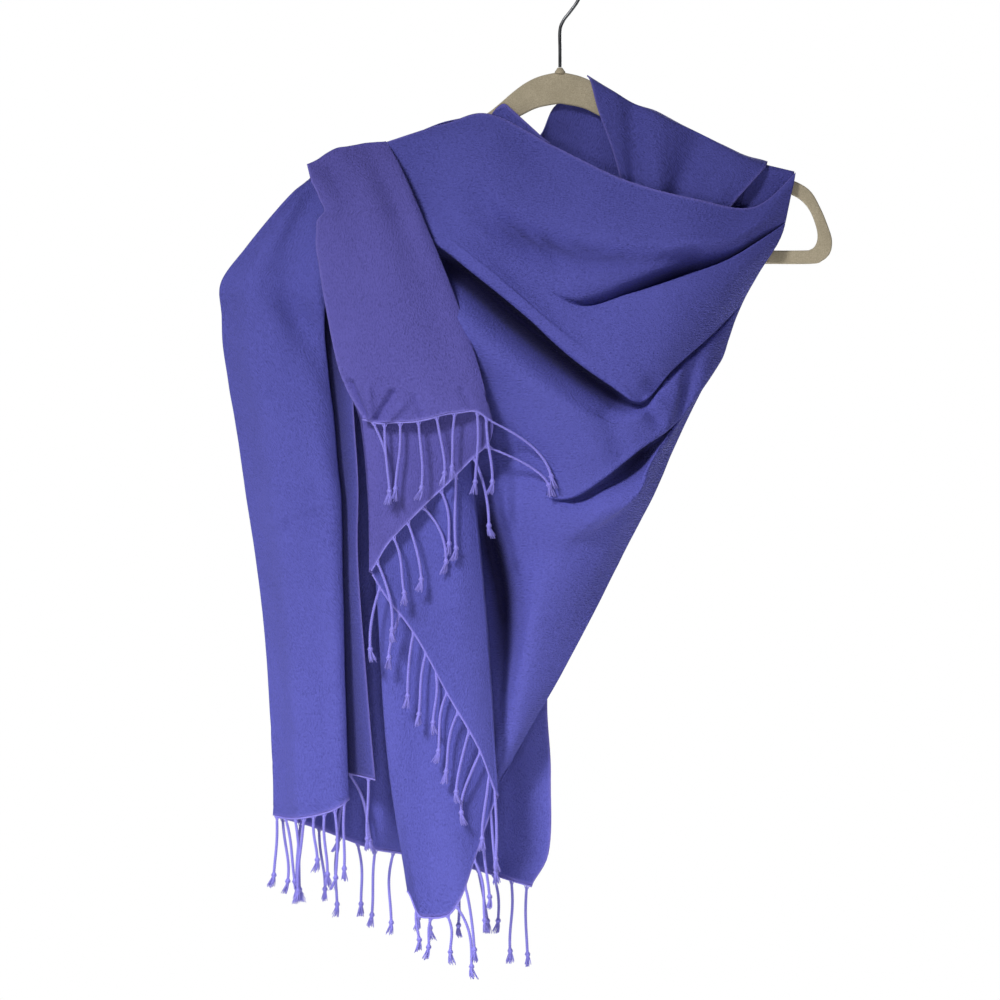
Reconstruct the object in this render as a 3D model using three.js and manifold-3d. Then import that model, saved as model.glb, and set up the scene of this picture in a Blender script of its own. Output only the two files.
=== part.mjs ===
// A fringed pashmina shawl hung over a slim velvet hanger.
// Millimetres: X to the viewer's right, Y to the back, Z up, origin where the hook is held.
import * as THREE from "three";
import Module from "manifold-3d";

const wasm = await Module();
wasm.setup();

// Driving dimensions
const CLOTH_THICK = 1.4; // wall of every piece of cloth
const HANGER_THICK = 5.5;
const HOOK_RADIUS = 23.3; // centre line of the bent rod
const ROD_RADIUS = 1.35;
const HOOK_START = -0.62; // turn of the bend where the neck meets it, from +X
const HOOK_TURN = 3.95;
const STRIP_WIDE = 2.2; // backing that holds the fringe
const STRIP_GAP = 0.6; // from a hem to the backing below it
const CORD_RADIUS = 1.15;
const KNOT_RADIUS = 1.9;

// Smooth curve through a table: rows of equal length, t from 0 to 1 over the whole table
function along(rows, t) {
  const last = rows.length - 1;
  const at = Math.min(Math.max(t, 0), 1) * last;
  const i = Math.min(Math.floor(at), last - 1);
  const f = at - i;
  const p0 = rows[Math.max(i - 1, 0)];
  const p1 = rows[i];
  const p2 = rows[i + 1];
  const p3 = rows[Math.min(i + 2, last)];
  return p1.map((b, k) => {
    const [a, c, d] = [p0[k], p2[k], p3[k]];
    const bend = (2 * a - 5 * b + 4 * c - d) * f * f + (3 * b - a - 3 * c + d) * f * f * f;
    return b + 0.5 * ((c - a) * f + bend);
  });
}

// Smooth curve through single values at even steps
const evenValue = (values, t) => along(values.map((value) => [value]), t)[0];

const mix = (a, b, t) => a + (b - a) * t;
const ease = (t) => t * t * (3 - 2 * t);
const clamp01 = (t) => Math.min(Math.max(t, 0), 1);

// Value of a table of [position, value] pairs, eased between them
function tableValue(pairs, t) {
  if (t <= pairs[0][0]) return pairs[0][1];
  for (let i = 1; i < pairs.length; i++) {
    const [t0, v0] = pairs[i - 1];
    const [t1, v1] = pairs[i];
    if (t <= t1) return mix(v0, v1, ease((t - t0) / (t1 - t0)));
  }
  return pairs[pairs.length - 1][1];
}

// Soft upright folds: each runs from one place across the cloth at the top to another at the hem
function foldDepth(folds, u, v) {
  let depth = 0;
  for (const f of folds) {
    const middle = mix(f.top, f.hem, v);
    const across = (u - middle) / f.wide;
    const strength = tableValue(f.strength ?? [[0, 0], [0.3, 1], [1, 1]], v);
    depth += f.deep * strength * Math.exp(-across * across);
  }
  return depth;
}

// A hanging sheet between two edges. Rows run from the top down:
// [left x, left y, left z, right x, right y, right z]
function hanging(s) {
  return (u, v) => {
    const row = along(s.rows, v);
    const x = mix(row[0], row[3], u);
    let y = mix(row[1], row[4], u);
    let z = mix(row[2], row[5], u);
    y += (s.belly ?? 0) * Math.sin(Math.PI * u) * ease(clamp01(v * 2));
    y += foldDepth(s.folds ?? [], u, v);
    if (s.rollLeft) y += s.rollLeft.deep * Math.exp(-u / s.rollLeft.wide) * clamp01(v * 2.5);
    if (s.rollRight) y += s.rollRight.deep * Math.exp(-(1 - u) / s.rollRight.wide) * clamp01(v * 2.5);
    if (s.topRise) z += evenValue(s.topRise, u) * (1 - v) ** 6;
    if (s.hemDrop) z += evenValue(s.hemDrop, u) * v ** 6;
    return new THREE.Vector3(x, y, z);
  };
}

// The flap at the front and the three pleats that step down behind it
const flap = {
  rows: [
    [-207, -9.5, -181, -143, -10.5, -162],
    [-203, -24, -194, -132, -27, -182],
    [-196, -38, -222, -116, -42, -218],
    [-197, -48, -256, -99, -53, -257],
    [-190, -54, -302, -81, -60, -304],
    [-179, -58, -352, -66, -65, -350],
    [-161, -60, -389, -55, -66, -391],
  ],
  topRise: [0, 1.5, 5, 7, 6, 5, 4, 2, 0],
  hemDrop: [0, -3, -2, -1.5, 1, 5, 7, 8, 0],
  rollLeft: { deep: 5, wide: 0.06 },
  rollRight: { deep: 4, wide: 0.05 },
  folds: [
    { top: 0.28, hem: 0.3, wide: 0.14, deep: 4.5, strength: [[0, 0], [0.2, 1], [0.6, 0.3], [1, 0]] },
    { top: 0.75, hem: 0.85, wide: 0.12, deep: 4, strength: [[0, 0.5], [0.3, 1], [0.7, 0.2], [1, 0]] },
    { top: 0.5, hem: 0.62, wide: 0.2, deep: -3 },
  ],
};

const pleatUpper = {
  rows: [
    [-186, -18.5, -192, -138, -19.5, -186],
    [-184, -29, -222, -118, -32, -218],
    [-182, -40, -262, -100, -43, -258],
    [-176, -48, -310, -82, -52, -305],
    [-164, -50, -370, -68, -56, -350],
    [-156, -49, -440, -60, -57, -385],
    [-154, -48, -512, -58, -57, -408],
  ],
  belly: -2,
  rollLeft: { deep: 4, wide: 0.05 },
  rollRight: { deep: -3, wide: 0.05 },
  hemDrop: [0, 7, 8, 7, 6, 4, 3, 2, 0],
  folds: [{ top: 0.5, hem: 0.55, wide: 0.18, deep: 3 }],
};

const pleatMiddle = {
  rows: [
    [-180, -16, -194, -140, -16.5, -190],
    [-182, -24.5, -224, -120, -27, -224],
    [-178, -36, -280, -97, -38, -280],
    [-166, -41, -350, -80, -44, -360],
    [-156, -41, -420, -71, -46, -450],
    [-154, -40, -470, -62, -44, -550],
    [-153, -39, -515, -52, -40, -695],
  ],
  belly: -2,
  rollLeft: { deep: -3, wide: 0.05 },
  rollRight: { deep: 5, wide: 0.06 },
  hemDrop: [0, 2, 9, 13, 13, 12, 13, 12, 0],
  folds: [
    { top: 0.6, hem: 0.42, wide: 0.16, deep: 3 },
    { top: 0.9, hem: 0.75, wide: 0.14, deep: -3 },
  ],
};

const pleatLower = {
  rows: [
    [-174, -13.5, -196, -144, -13.5, -194],
    [-178, -22.5, -236, -124, -23.5, -240],
    [-168, -31, -310, -100, -32, -310],
    [-157, -31, -400, -80, -34, -400],
    [-152, -29, -500, -66, -33, -500],
    [-146, -27, -600, -58, -31, -590],
    [-141, -27, -690, -54, -30, -650],
    [-127, -27, -774, -53, -31, -700],
  ],
  belly: -2,
  rollLeft: { deep: 4, wide: 0.06 },
  rollRight: { deep: -3, wide: 0.05 },
  hemDrop: [0, -28, -40, -49, -54, -48, -31, -14, 0],
  folds: [
    { top: 0.4, hem: 0.3, wide: 0.16, deep: 4 },
    { top: 0.7, hem: 0.62, wide: 0.16, deep: -4 },
  ],
};

// The end wrapped round the left arm: front panel, a narrow pleat beside it, and the back
const leftPanel = {
  rows: [
    [-206, -1.6, -193, -160, -1.6, -170],
    [-217, -9.5, -203, -160, -9, -185],
    [-233, -4, -221, -170, -15, -213],
    [-256, 0, -249, -182, -21, -255],
    [-277, 3, -284, -196, -26, -300],
    [-271, 4, -340, -188, -29, -350],
    [-261, 4, -415, -181, -30, -430],
    [-250, 4, -490, -178, -30, -500],
    [-239, 4, -582, -176, -29, -590],
    [-235, 4, -666, -174, -28, -665],
    [-234, 3, -714, -172.5, -27, -699],
  ],
  belly: -9,
  topRise: [0, 3, 6, 7, 7, 7, 6, 4, 2],
  hemDrop: [0, -3, -5, -6, -6.5, -6.5, -6, -4, 0],
  rollRight: { deep: 7, wide: 0.07 },
  folds: [
    { top: 0.35, hem: 0.5, wide: 0.13, deep: 7, strength: [[0, 0], [0.12, 1], [0.3, 0.5], [0.5, 0]] },
    { top: 0.6, hem: 0.7, wide: 0.16, deep: 4 },
    { top: 0.2, hem: 0.32, wide: 0.14, deep: -4 },
  ],
};

const leftPleat = {
  rows: [
    [-182, -13.6, -250, -150, -12, -262],
    [-196, -16.4, -300, -146, -15, -306],
    [-188, -19.4, -376, -142, -17, -380],
    [-181, -20.6, -461, -136, -17, -465],
    [-179, -20.6, -520, -132, -17, -525],
    [-177.5, -19.9, -590, -128, -16, -596],
    [-175.5, -18.9, -650, -124, -15, -656],
    [-174.5, -18.1, -677, -122, -15, -698],
  ],
  folds: [
    { top: 0.06, hem: 0.14, wide: 0.09, deep: 6, strength: [[0, 0], [0.3, 0.5], [1, 1]] },
    { top: 0.27, hem: 0.36, wide: 0.1, deep: -3 },
  ],
};

// Top edge of the back, left to right: [x, y, z]
const backTop = [
  [-205, 0.85, -193],
  [-184, 0.85, -168.5],
  [-143, 0.85, -164],
  [-94, 0.85, -146],
  [-64, 4.4, -139.5],
  [-46, 6, -136],
  [-19, 6.5, -157],
  [-5, 6.5, -132],
  [24, 4.4, -109.5],
  [42, 2.8, -119.5],
  [60, 1.2, -133],
  [105, 0.95, -152.5],
  [170, 1, -179],
  [192, 1.2, -187.5],
];

const backPanel = {
  rows: [
    [-206, 4, -194, 192, 4, -188],
    [-217, 4, -203, 188, 7, -205],
    [-233, 3.7, -221, 180, 9, -226],
    [-256, 4, -249, 160, 11, -264],
    [-277, 5, -284, 132, 13, -312],
    [-271, 6, -340, 98, 15, -372],
    [-261, 6, -415, 66, 16, -440],
    [-250, 6, -490, 30, 16, -515],
    [-239, 6, -582, -8, 15, -600],
    [-235, 6, -666, -8, 13, -690],
    [-234, 5, -714, -23, 12, -772],
  ],
  belly: 16,
  hemDrop: [0, 0, -3, -5, -3, -1, 1, 0, 0],
  folds: [
    { top: 0.2, hem: 0.22, wide: 0.07, deep: 7 },
    { top: 0.33, hem: 0.4, wide: 0.06, deep: -6 },
    { top: 0.5, hem: 0.55, wide: 0.08, deep: 8 },
    { top: 0.66, hem: 0.7, wide: 0.06, deep: -6 },
    { top: 0.8, hem: 0.86, wide: 0.06, deep: 6 },
  ],
};

// The draped front. Each line runs left to right: [x, y, z]
const neckLine = [
  [-150, -0.85, -164],
  [-94, -0.85, -146],
  [-57, -8, -139],
  [-5, -24, -166],
  [52, -36, -194],
  [110, -40, -210],
  [158, -26, -216],
  [193, -4.6, -187],
];
const upperLip = [
  [-140, -11, -206],
  [-104, -24, -212],
  [-62, -38, -232],
  [-12, -50, -270],
  [34, -57, -290],
  [97, -56, -276],
  [150, -38, -254],
  [184, -9, -222],
];
const pouchLip = [
  [-125, -16, -232],
  [-88, -36, -257],
  [-44, -52, -299],
  [12, -60, -338],
  [64, -55, -378],
  [90, -50, -348],
  [128, -34, -313],
  [149, -11, -294],
];
const lowerLip = [
  [-80, -25, -396],
  [-56, -32, -420],
  [-24, -44, -444],
  [14, -50, -452],
  [64, -50, -414],
  [92, -44, -385],
  [110, -32, -355],
  [130, -12, -343],
];
const midFront = [
  [-74, -23, -560],
  [-60, -26, -561],
  [-46, -32, -562],
  [-30, -35, -563],
  [-14, -33, -562],
  [2, -26, -561],
  [13, -19, -560],
  [21, -13, -560],
];
const lowFront = [
  [-66, -21, -690],
  [-64, -21, -691],
  [-62, -21, -692],
  [-60, -21, -692],
  [-57, -20, -692],
  [-55, -19, -692],
  [-53, -17, -691],
  [-51, -14, -690],
];

// How far the cloth doubles back under each lip, left to right, and how deep it lies there
const upperStrength = [[0, 0], [0.5, 0], [0.72, 0.6], [0.92, 0.4], [1, 0]];
const pouchStrength = [[0, 0.3], [0.25, 1], [0.5, 0.5], [0.62, 0.25], [0.8, 0.5], [0.92, 0.3], [1, 0]];
const lowerStrength = [[0, 0], [0.4, 0], [0.62, 0.6], [0.85, 0.9], [0.94, 0.5], [1, 0]];
const tucks = [
  { line: upperLip, rise: 12, deep: 15, strength: upperStrength },
  { line: pouchLip, rise: 16, deep: 18, strength: pouchStrength },
  { line: lowerLip, rise: 14, deep: 16, strength: lowerStrength },
];

// How far the cloth rolls forward just below the neckline, left to right
const rollOut = [[0, 4], [0.15, 8], [0.28, 7], [0.4, 2], [0.8, 2], [1, 3]];

// The points of a tuck, with no tuck and with a full one: up from its lip, and share of its depth
const tuckPoints = [
  { plain: 4, full: 5, share: 0, forward: 1 },
  { plain: 0, full: 0, share: 0.16, forward: 0 },
  { plain: -3, full: 0.8, byRise: true, share: 0.45, forward: 0 },
  { plain: -6, full: 0.75, byRise: true, share: 0.85, forward: 0 },
  { plain: -10, full: -5, share: 1, forward: 0 },
];

const EDGE_LEAN = [0.45, 0.89]; // the way the draped front's right edge runs, upwards

// Direction across a line in the front view, pointing to the cloth above it
function above(line, u) {
  const a = along(line, Math.max(u - 0.04, 0));
  const b = along(line, Math.min(u + 0.04, 1));
  const dx = b[0] - a[0];
  const dz = b[2] - a[2];
  const size = Math.hypot(dx, dz);
  const toEdge = ease(clamp01((u - 0.75) / 0.25));
  return [mix(-dz / size, EDGE_LEAN[0], toEdge), mix(dx / size, EDGE_LEAN[1], toEdge)];
}

// The points down one column of the draped front: neckline, lips with their tucks, lower front
function drapeColumn(u) {
  const neck = along(neckLine, u);
  const first = along(upperLip, u);
  const forward = neck[1] - tableValue(rollOut, u);
  const between = (a, b, t) => a.map((c, k) => mix(c, b[k], t));
  const column = [
    neck,
    [mix(neck[0], first[0], 0.08), forward, mix(neck[2], first[2], 0.1)],
    [mix(neck[0], first[0], 0.5), mix(forward, first[1], 0.62), mix(neck[2], first[2], 0.5)],
  ];
  for (const [i, tuck] of tucks.entries()) {
    const a = tableValue(tuck.strength, u);
    const p = along(tuck.line, u);
    const n = above(tuck.line, u);
    for (const q of tuckPoints) {
      const up = mix(q.plain, q.byRise ? q.full * tuck.rise : q.full, a);
      const deep = (tuck.deep * q.share - q.forward) * a;
      column.push([p[0] + n[0] * up, p[1] + deep, p[2] + n[1] * up]);
    }
    if (i < tucks.length - 1) {
      const middle = between(p, along(tucks[i + 1].line, u), 0.5);
      middle[1] += tuck.deep * a * 0.35;
      column.push(middle);
    }
  }
  const low = along(lowerLip, u);
  const mid = along(midFront, u);
  const end = along(lowFront, u);
  column.push(between(low, mid, 0.5), mid, between(mid, end, 0.5), end);
  return column;
}

function drape(u, v) {
  return new THREE.Vector3(...along(drapeColumn(u), v));
}

// The band over the right arm, the loop at its end, and the wrap by the neck
const collarBand = {
  rows: [
    [22, -0.95, -107.5, 170, -0.95, -178],
    [25, -8, -113, 168, -7.5, -183],
    [31, -12, -136, 160, -12, -192],
    [39, -14, -158, 150, -15, -203],
    [46, -16, -180, 140, -17, -215],
    [52, -17, -205, 130, -18, -230],
  ],
  topRise: [0, -2, -4, -4.5, -4, -4, -3.5, -2, 0],
  folds: [{ top: 0.6, hem: 0.7, wide: 0.2, deep: 3 }],
};

const shoulderLoop = {
  rows: [
    [160, -0.75, -178.5, 188, -0.75, -184.5],
    [159, -4.8, -183, 187, -4.8, -189],
    [152, -5, -200, 182, -5, -198],
    [146, -6, -220, 172, -6, -212],
  ],
};

const neckWrap = {
  rows: [
    [-58, -3.9, -141, -8, -17, -163],
    [-64, -4.9, -148, -12, -17, -170],
    [-66, -6.5, -156, -16, -17.5, -180],
  ],
  topRise: [0, 10, 16, 14, 11, 8, 5, 2, 0],
};

// Even steps from 0 to 1, closer together near the ends when asked
function steps(count, crowd = 0) {
  return Array.from({ length: count + 1 }, (_, i) => {
    const t = i / count;
    return mix(t, 0.5 - 0.5 * Math.cos(Math.PI * t), crowd);
  });
}

function normalAt(surface, u, v) {
  const e = 0.004;
  const du = surface(Math.min(u + e, 1), v).sub(surface(Math.max(u - e, 0), v));
  const dv = surface(u, Math.min(v + e, 1)).sub(surface(u, Math.max(v - e, 0)));
  return du.cross(dv).normalize();
}

function closedGeometry(points, faces) {
  const geometry = new THREE.BufferGeometry();
  geometry.setAttribute("position", new THREE.Float32BufferAttribute(points.flat(), 3));
  geometry.setIndex(faces.flat());
  geometry.computeVertexNormals();
  return geometry;
}

// A wall of even thickness on a surface, closed round its four edges
function wall(surface, us, vs, normal = (u, v) => normalAt(surface, u, v)) {
  const points = [];
  for (const side of [0.5, -0.5]) {
    for (const v of vs) {
      for (const u of us) {
        const p = surface(u, v).addScaledVector(normal(u, v), side * CLOTH_THICK);
        points.push([p.x, p.y, p.z]);
      }
    }
  }
  const nu = us.length;
  const nv = vs.length;
  const at = (side, i, j) => side * nu * nv + j * nu + i;
  const faces = [];
  for (let j = 0; j < nv - 1; j++) {
    for (let i = 0; i < nu - 1; i++) {
      const [a, b, c, d] = [at(0, i, j), at(0, i + 1, j), at(0, i + 1, j + 1), at(0, i, j + 1)];
      faces.push([a, d, b], [b, d, c]);
      const [e, f, g, h] = [at(1, i, j), at(1, i + 1, j), at(1, i + 1, j + 1), at(1, i, j + 1)];
      faces.push([e, f, h], [f, g, h]);
    }
  }
  for (let i = 0; i < nu - 1; i++) {
    faces.push([at(0, i, 0), at(0, i + 1, 0), at(1, i, 0)]);
    faces.push([at(0, i + 1, 0), at(1, i + 1, 0), at(1, i, 0)]);
    faces.push([at(0, i, nv - 1), at(1, i, nv - 1), at(0, i + 1, nv - 1)]);
    faces.push([at(0, i + 1, nv - 1), at(1, i, nv - 1), at(1, i + 1, nv - 1)]);
  }
  for (let j = 0; j < nv - 1; j++) {
    faces.push([at(0, 0, j), at(1, 0, j), at(0, 0, j + 1)]);
    faces.push([at(0, 0, j + 1), at(1, 0, j), at(1, 0, j + 1)]);
    faces.push([at(0, nu - 1, j), at(0, nu - 1, j + 1), at(1, nu - 1, j)]);
    faces.push([at(0, nu - 1, j + 1), at(1, nu - 1, j + 1), at(1, nu - 1, j)]);
  }
  return closedGeometry(points, faces.map(([a, b, c]) => [a, c, b]));
}

// The back's rows start from its own shaped top edge, and leave it within these shares of its length
const TOP_REACH = 0.4545;
const ARM_REACH = 0.0143;

function back(u, v) {
  const p = hanging(backPanel)(u, v);
  const top = along(backTop, u);
  const line = hanging(backPanel)(u, 0);
  const keep = (1 - clamp01(v / TOP_REACH)) ** 1.5;
  const keepY = (1 - clamp01(v / ARM_REACH)) ** 2;
  p.x += (top[0] - line.x) * keep;
  p.y += (top[1] - line.y) * keepY;
  p.z += (top[2] - line.z) * keep;
  return p;
}

const hanger = { color: 0xaca082, roughness: 0.9 };
const cloth = { color: 0x4f4c9f, roughness: 0.75 };
const cordTone = { color: 0x7873c8, roughness: 0.7 };
const rod = { color: 0x55575c, roughness: 0.35, metalness: 1 };

const part = new THREE.Group();
part.name = "shawl_on_hanger";

function add(name, geometry, look) {
  const mesh = new THREE.Mesh(geometry, new THREE.MeshStandardMaterial(look));
  mesh.name = name;
  part.add(mesh);
}

// Hanger: right half of the outline from the middle outwards, mirrored for the left
const hangerTop = [
  [0, -100.6],
  [2.4, -100.8],
  [5, -104.2],
  [16, -107.5],
  [28, -113],
  [39, -121],
  [50, -130.5],
  [62, -139.5],
  [100, -157],
  [150, -179.5],
  [192, -193.5],
  [205, -201.5],
  [213.2, -215],
  [219.5, -230],
  [223, -242],
  [221.5, -252.5],
  [215, -259],
  [205, -261.5],
];
const hangerInside = [
  [0, -130],
  [20, -134],
  [34, -141],
  [60, -155],
  [100, -172],
  [150, -192],
  [184, -202.5],
  [194, -207],
  [203, -214],
  [208.7, -227],
  [211.2, -236],
  [210.7, -243],
  [207.5, -248],
  [201, -250.5],
];

function hangerGeometry() {
  const mirrored = (half) => [...half, ...half.slice(1).reverse().map(([x, z]) => [-x, z])];
  const toPoint = ([x, z]) => new THREE.Vector2(x, z);
  const shape = new THREE.Shape(mirrored(hangerTop).map(toPoint));
  shape.holes.push(new THREE.Path(mirrored(hangerInside).map(toPoint).reverse()));
  const geometry = new THREE.ExtrudeGeometry(shape, { depth: HANGER_THICK, bevelEnabled: false });
  geometry.rotateX(Math.PI / 2);
  geometry.translate(0, HANGER_THICK / 2, 0);
  return geometry;
}

// The rod's neck, from the hanger up to its bend: [x, z]
const hookNeck = [
  [0, -100.2],
  [0, -86],
  [0, -70],
  [2.8, -62],
  [8.5, -54.5],
  [14.5, -46],
];
const BEND_POINTS = 10;

function hookGeometry() {
  const points = hookNeck.map(([x, z]) => new THREE.Vector3(x, 0, z));
  for (let i = 0; i <= BEND_POINTS; i++) {
    const angle = HOOK_START + (i / BEND_POINTS) * HOOK_TURN;
    const x = HOOK_RADIUS * Math.cos(angle);
    const z = ROD_RADIUS - HOOK_RADIUS + HOOK_RADIUS * Math.sin(angle);
    points.push(new THREE.Vector3(x, 0, z));
  }
  const circle = new THREE.Shape();
  circle.absarc(0, 0, ROD_RADIUS, 0, Math.PI * 2, false);
  return new THREE.ExtrudeGeometry(circle, {
    steps: 44,
    curveSegments: 4,
    bevelEnabled: false,
    extrudePath: new THREE.CatmullRomCurve3(points),
  });
}

add("hanger_body", hangerGeometry(), hanger);
add("hanger_hook", hookGeometry(), rod);

// Rows of the draped front: one at each point down a column, and one between the far ones
const DRAPE_SPANS = 23;
const longSpans = [1, 2, 7, 8, 14, 15, 20, 21, 22];
const drapeRows = steps(DRAPE_SPANS);
for (const i of longSpans) drapeRows.push((i + 0.5) / DRAPE_SPANS);
drapeRows.sort((a, b) => a - b);
const backRows = [0, ARM_REACH, 0.04, ...steps(14).slice(1)];

const surfaces = {
  flap: hanging(flap),
  upper: hanging(pleatUpper),
  middle: hanging(pleatMiddle),
  lower: hanging(pleatLower),
  left: hanging(leftPanel),
  pleat: hanging(leftPleat),
  back,
};
const sheets = [
  { name: "flap", surface: surfaces.flap, us: steps(11, 0.4), vs: steps(13) },
  { name: "pleat_upper", surface: surfaces.upper, us: steps(7, 0.5), vs: steps(11) },
  { name: "pleat_middle", surface: surfaces.middle, us: steps(7, 0.5), vs: steps(12) },
  { name: "pleat_lower", surface: surfaces.lower, us: steps(8, 0.4), vs: steps(14) },
  { name: "left_panel", surface: surfaces.left, us: steps(10, 0.5), vs: steps(16) },
  { name: "left_pleat", surface: surfaces.pleat, us: steps(8), vs: steps(10) },
  { name: "back_panel", surface: back, us: steps(24), vs: backRows },
  { name: "front_drape", surface: drape, us: steps(18, 0.2), vs: drapeRows },
  { name: "collar_band", surface: hanging(collarBand), us: steps(8), vs: steps(8) },
  { name: "shoulder_loop", surface: hanging(shoulderLoop), us: steps(3), vs: steps(6) },
  { name: "neck_wrap", surface: hanging(neckWrap), us: steps(8), vs: steps(3) },
];
for (const s of sheets) add(s.name, wall(s.surface, s.us, s.vs), cloth);

// Fringe cords on each hem: [place across the hem, sideways, to the back, long]
const fringes = [
  {
    name: "fringe_flap",
    surface: surfaces.flap,
    cords: [
      [0.08, 13, 2, 66],
      [0.17, 5, -1, 66],
      [0.29, -4, 0, 64],
      [0.43, 1, 0, 64],
      [0.57, 5, 0, 56],
      [0.71, -3, 0, 54],
      [0.88, -2, 1, 67],
      [0.95, 4, -1, 62],
      [0.99, 50, 4, 55],
    ],
  },
  {
    name: "fringe_upper",
    surface: surfaces.upper,
    cords: [
      [0.05, 11, 0, 66],
      [0.19, 11, 0, 56],
      [0.31, 11, 0, 57],
      [0.44, 18, 0, 55],
      [0.59, 7, 0, 54],
      [0.72, 1, 0, 70],
      [0.87, 12, 1, 66],
      [0.97, 52, 2, 42],
    ],
  },
  {
    name: "fringe_middle",
    surface: surfaces.middle,
    cords: [
      [0.06, -7, 0, 61],
      [0.22, -8, 0, 46],
      [0.33, -5, 0, 62],
      [0.43, -7, 0, 60],
      [0.51, -2, 0, 52],
      [0.6, -8, 0, 58],
      [0.69, -11, 0, 59],
      [0.78, -11, 0, 60],
      [0.87, -14, 0, 60],
      [0.94, -5, 0, 62],
      [0.985, 0, 1, 66],
    ],
  },
  {
    name: "fringe_lower",
    surface: surfaces.lower,
    cords: [
      [0.1, 3, 0, 34],
      [0.27, -5, 0, 34],
      [0.46, 3, 0, 40],
      [0.56, 12, 0, 60],
      [0.66, 8, 0, 62],
      [0.76, 10, 0, 60],
      [0.86, 6, 0, 62],
      [0.95, 5, 0, 60],
    ],
  },
  {
    name: "fringe_left",
    surface: surfaces.left,
    cords: [
      [0.03, -3, -2, 58],
      [0.15, 9, 0, 62],
      [0.28, 4, 0, 68],
      [0.4, -4, 0, 70],
      [0.53, 2, 0, 46],
      [0.67, 2, 0, 60],
      [0.81, 0, 0, 66],
      [0.94, -1, 1, 64],
    ],
  },
  {
    name: "fringe_pleat",
    surface: surfaces.pleat,
    cords: [
      [0.08, -4, 3, 66],
      [0.24, 19, 3, 66],
      [0.8, 0, 4, 60],
    ],
  },
  {
    name: "fringe_back",
    surface: back,
    cords: [
      [0.03, 2, 3, 62],
      [0.1, -3, 2, 64],
      [0.17, 4, 2, 60],
      [0.25, -2, 1, 66],
      [0.32, 3, 1, 60],
      [0.39, -4, 0, 64],
      [0.46, -2, 0, 68],
      [0.54, 3, 0, 62],
      [0.62, -3, 0, 66],
      [0.7, 2, 0, 60],
      [0.79, 9, 0, 52],
      [0.85, 3, 0, 48],
      [0.92, 0, 0, 68],
      [0.98, 1, 0, 67],
    ],
  },
];

// One cord as a closed three-sided sweep with a knot and a short brush below it
const CORD_SHAPE = [
  [0, CORD_RADIUS],
  [0.35, CORD_RADIUS],
  [0.78, CORD_RADIUS],
  [0.84, KNOT_RADIUS],
  [0.89, CORD_RADIUS],
  [1, KNOT_RADIUS * 0.8],
];

function cordGeometry(root, out, [, side, back, long]) {
  const points = [];
  const faces = [];
  const sides = 3;
  for (const [t, radius] of CORD_SHAPE) {
    const swing = ease(t);
    const x = root.x + side * swing + out.x * 6 * t * (1 - t);
    const y = root.y + back * swing;
    const z = root.z - long * t;
    for (let k = 0; k < sides; k++) {
      const angle = (k / sides) * Math.PI * 2 + 0.5;
      points.push([x + radius * Math.cos(angle), y + radius * Math.sin(angle), z]);
    }
  }
  for (let j = 0; j < CORD_SHAPE.length - 1; j++) {
    for (let k = 0; k < sides; k++) {
      const [a, b] = [j * sides + k, j * sides + ((k + 1) % sides)];
      faces.push([a, a + sides, b], [b, a + sides, b + sides]);
    }
  }
  const end = (CORD_SHAPE.length - 1) * sides;
  faces.push([0, 1, 2], [end, end + 2, end + 1]);
  return closedGeometry(points, faces);
}

function toSolid(geometry) {
  return new wasm.Manifold(
    new wasm.Mesh({
      numProp: 3,
      vertProperties: geometry.attributes.position.array,
      triVerts: new Uint32Array(geometry.index.array),
    }),
  );
}

function fromSolid(solid) {
  const mesh = solid.getMesh();
  const geometry = new THREE.BufferGeometry();
  geometry.setAttribute("position", new THREE.BufferAttribute(mesh.vertProperties, 3));
  geometry.setIndex(new THREE.BufferAttribute(mesh.triVerts, 1));
  geometry.computeVertexNormals();
  return geometry;
}

for (const f of fringes) {
  const us = sheets.find((s) => s.surface === f.surface).us;
  const hemWay = (u) => {
    const down = f.surface(u, 1).sub(f.surface(u, 0.985));
    const across = f.surface(Math.min(u + 0.02, 1), 1).sub(f.surface(Math.max(u - 0.02, 0), 1));
    const out = across.clone().cross(normalAt(f.surface, u, 1)).normalize();
    return out.dot(down) < 0 ? out.negate() : out;
  };
  const corner = (u, w) => f.surface(u, 1).addScaledVector(hemWay(u), STRIP_GAP + w * STRIP_WIDE);
  const below = (u, w) => {
    const i = Math.max(us.findIndex((c) => c >= u), 1);
    return corner(us[i - 1], w).lerp(corner(us[i], w), (u - us[i - 1]) / (us[i] - us[i - 1]));
  };
  let solid = toSolid(wall(corner, us, [0, 1], (u) => normalAt(f.surface, u, 1)));
  for (const cord of f.cords) {
    solid = solid.add(toSolid(cordGeometry(below(cord[0], 0.6), hemWay(cord[0]), cord)));
  }
  add(f.name, fromSolid(solid), cordTone);
}

export default part;
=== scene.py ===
"""A fringed pashmina shawl hung over a slim velvet hanger.

Shapes are worked out in millimetres in the part's frame and written to the meshes in metres.
X is to the viewer's right, Y to the back, Z up, and the origin is where the hook is held.
"""

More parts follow.
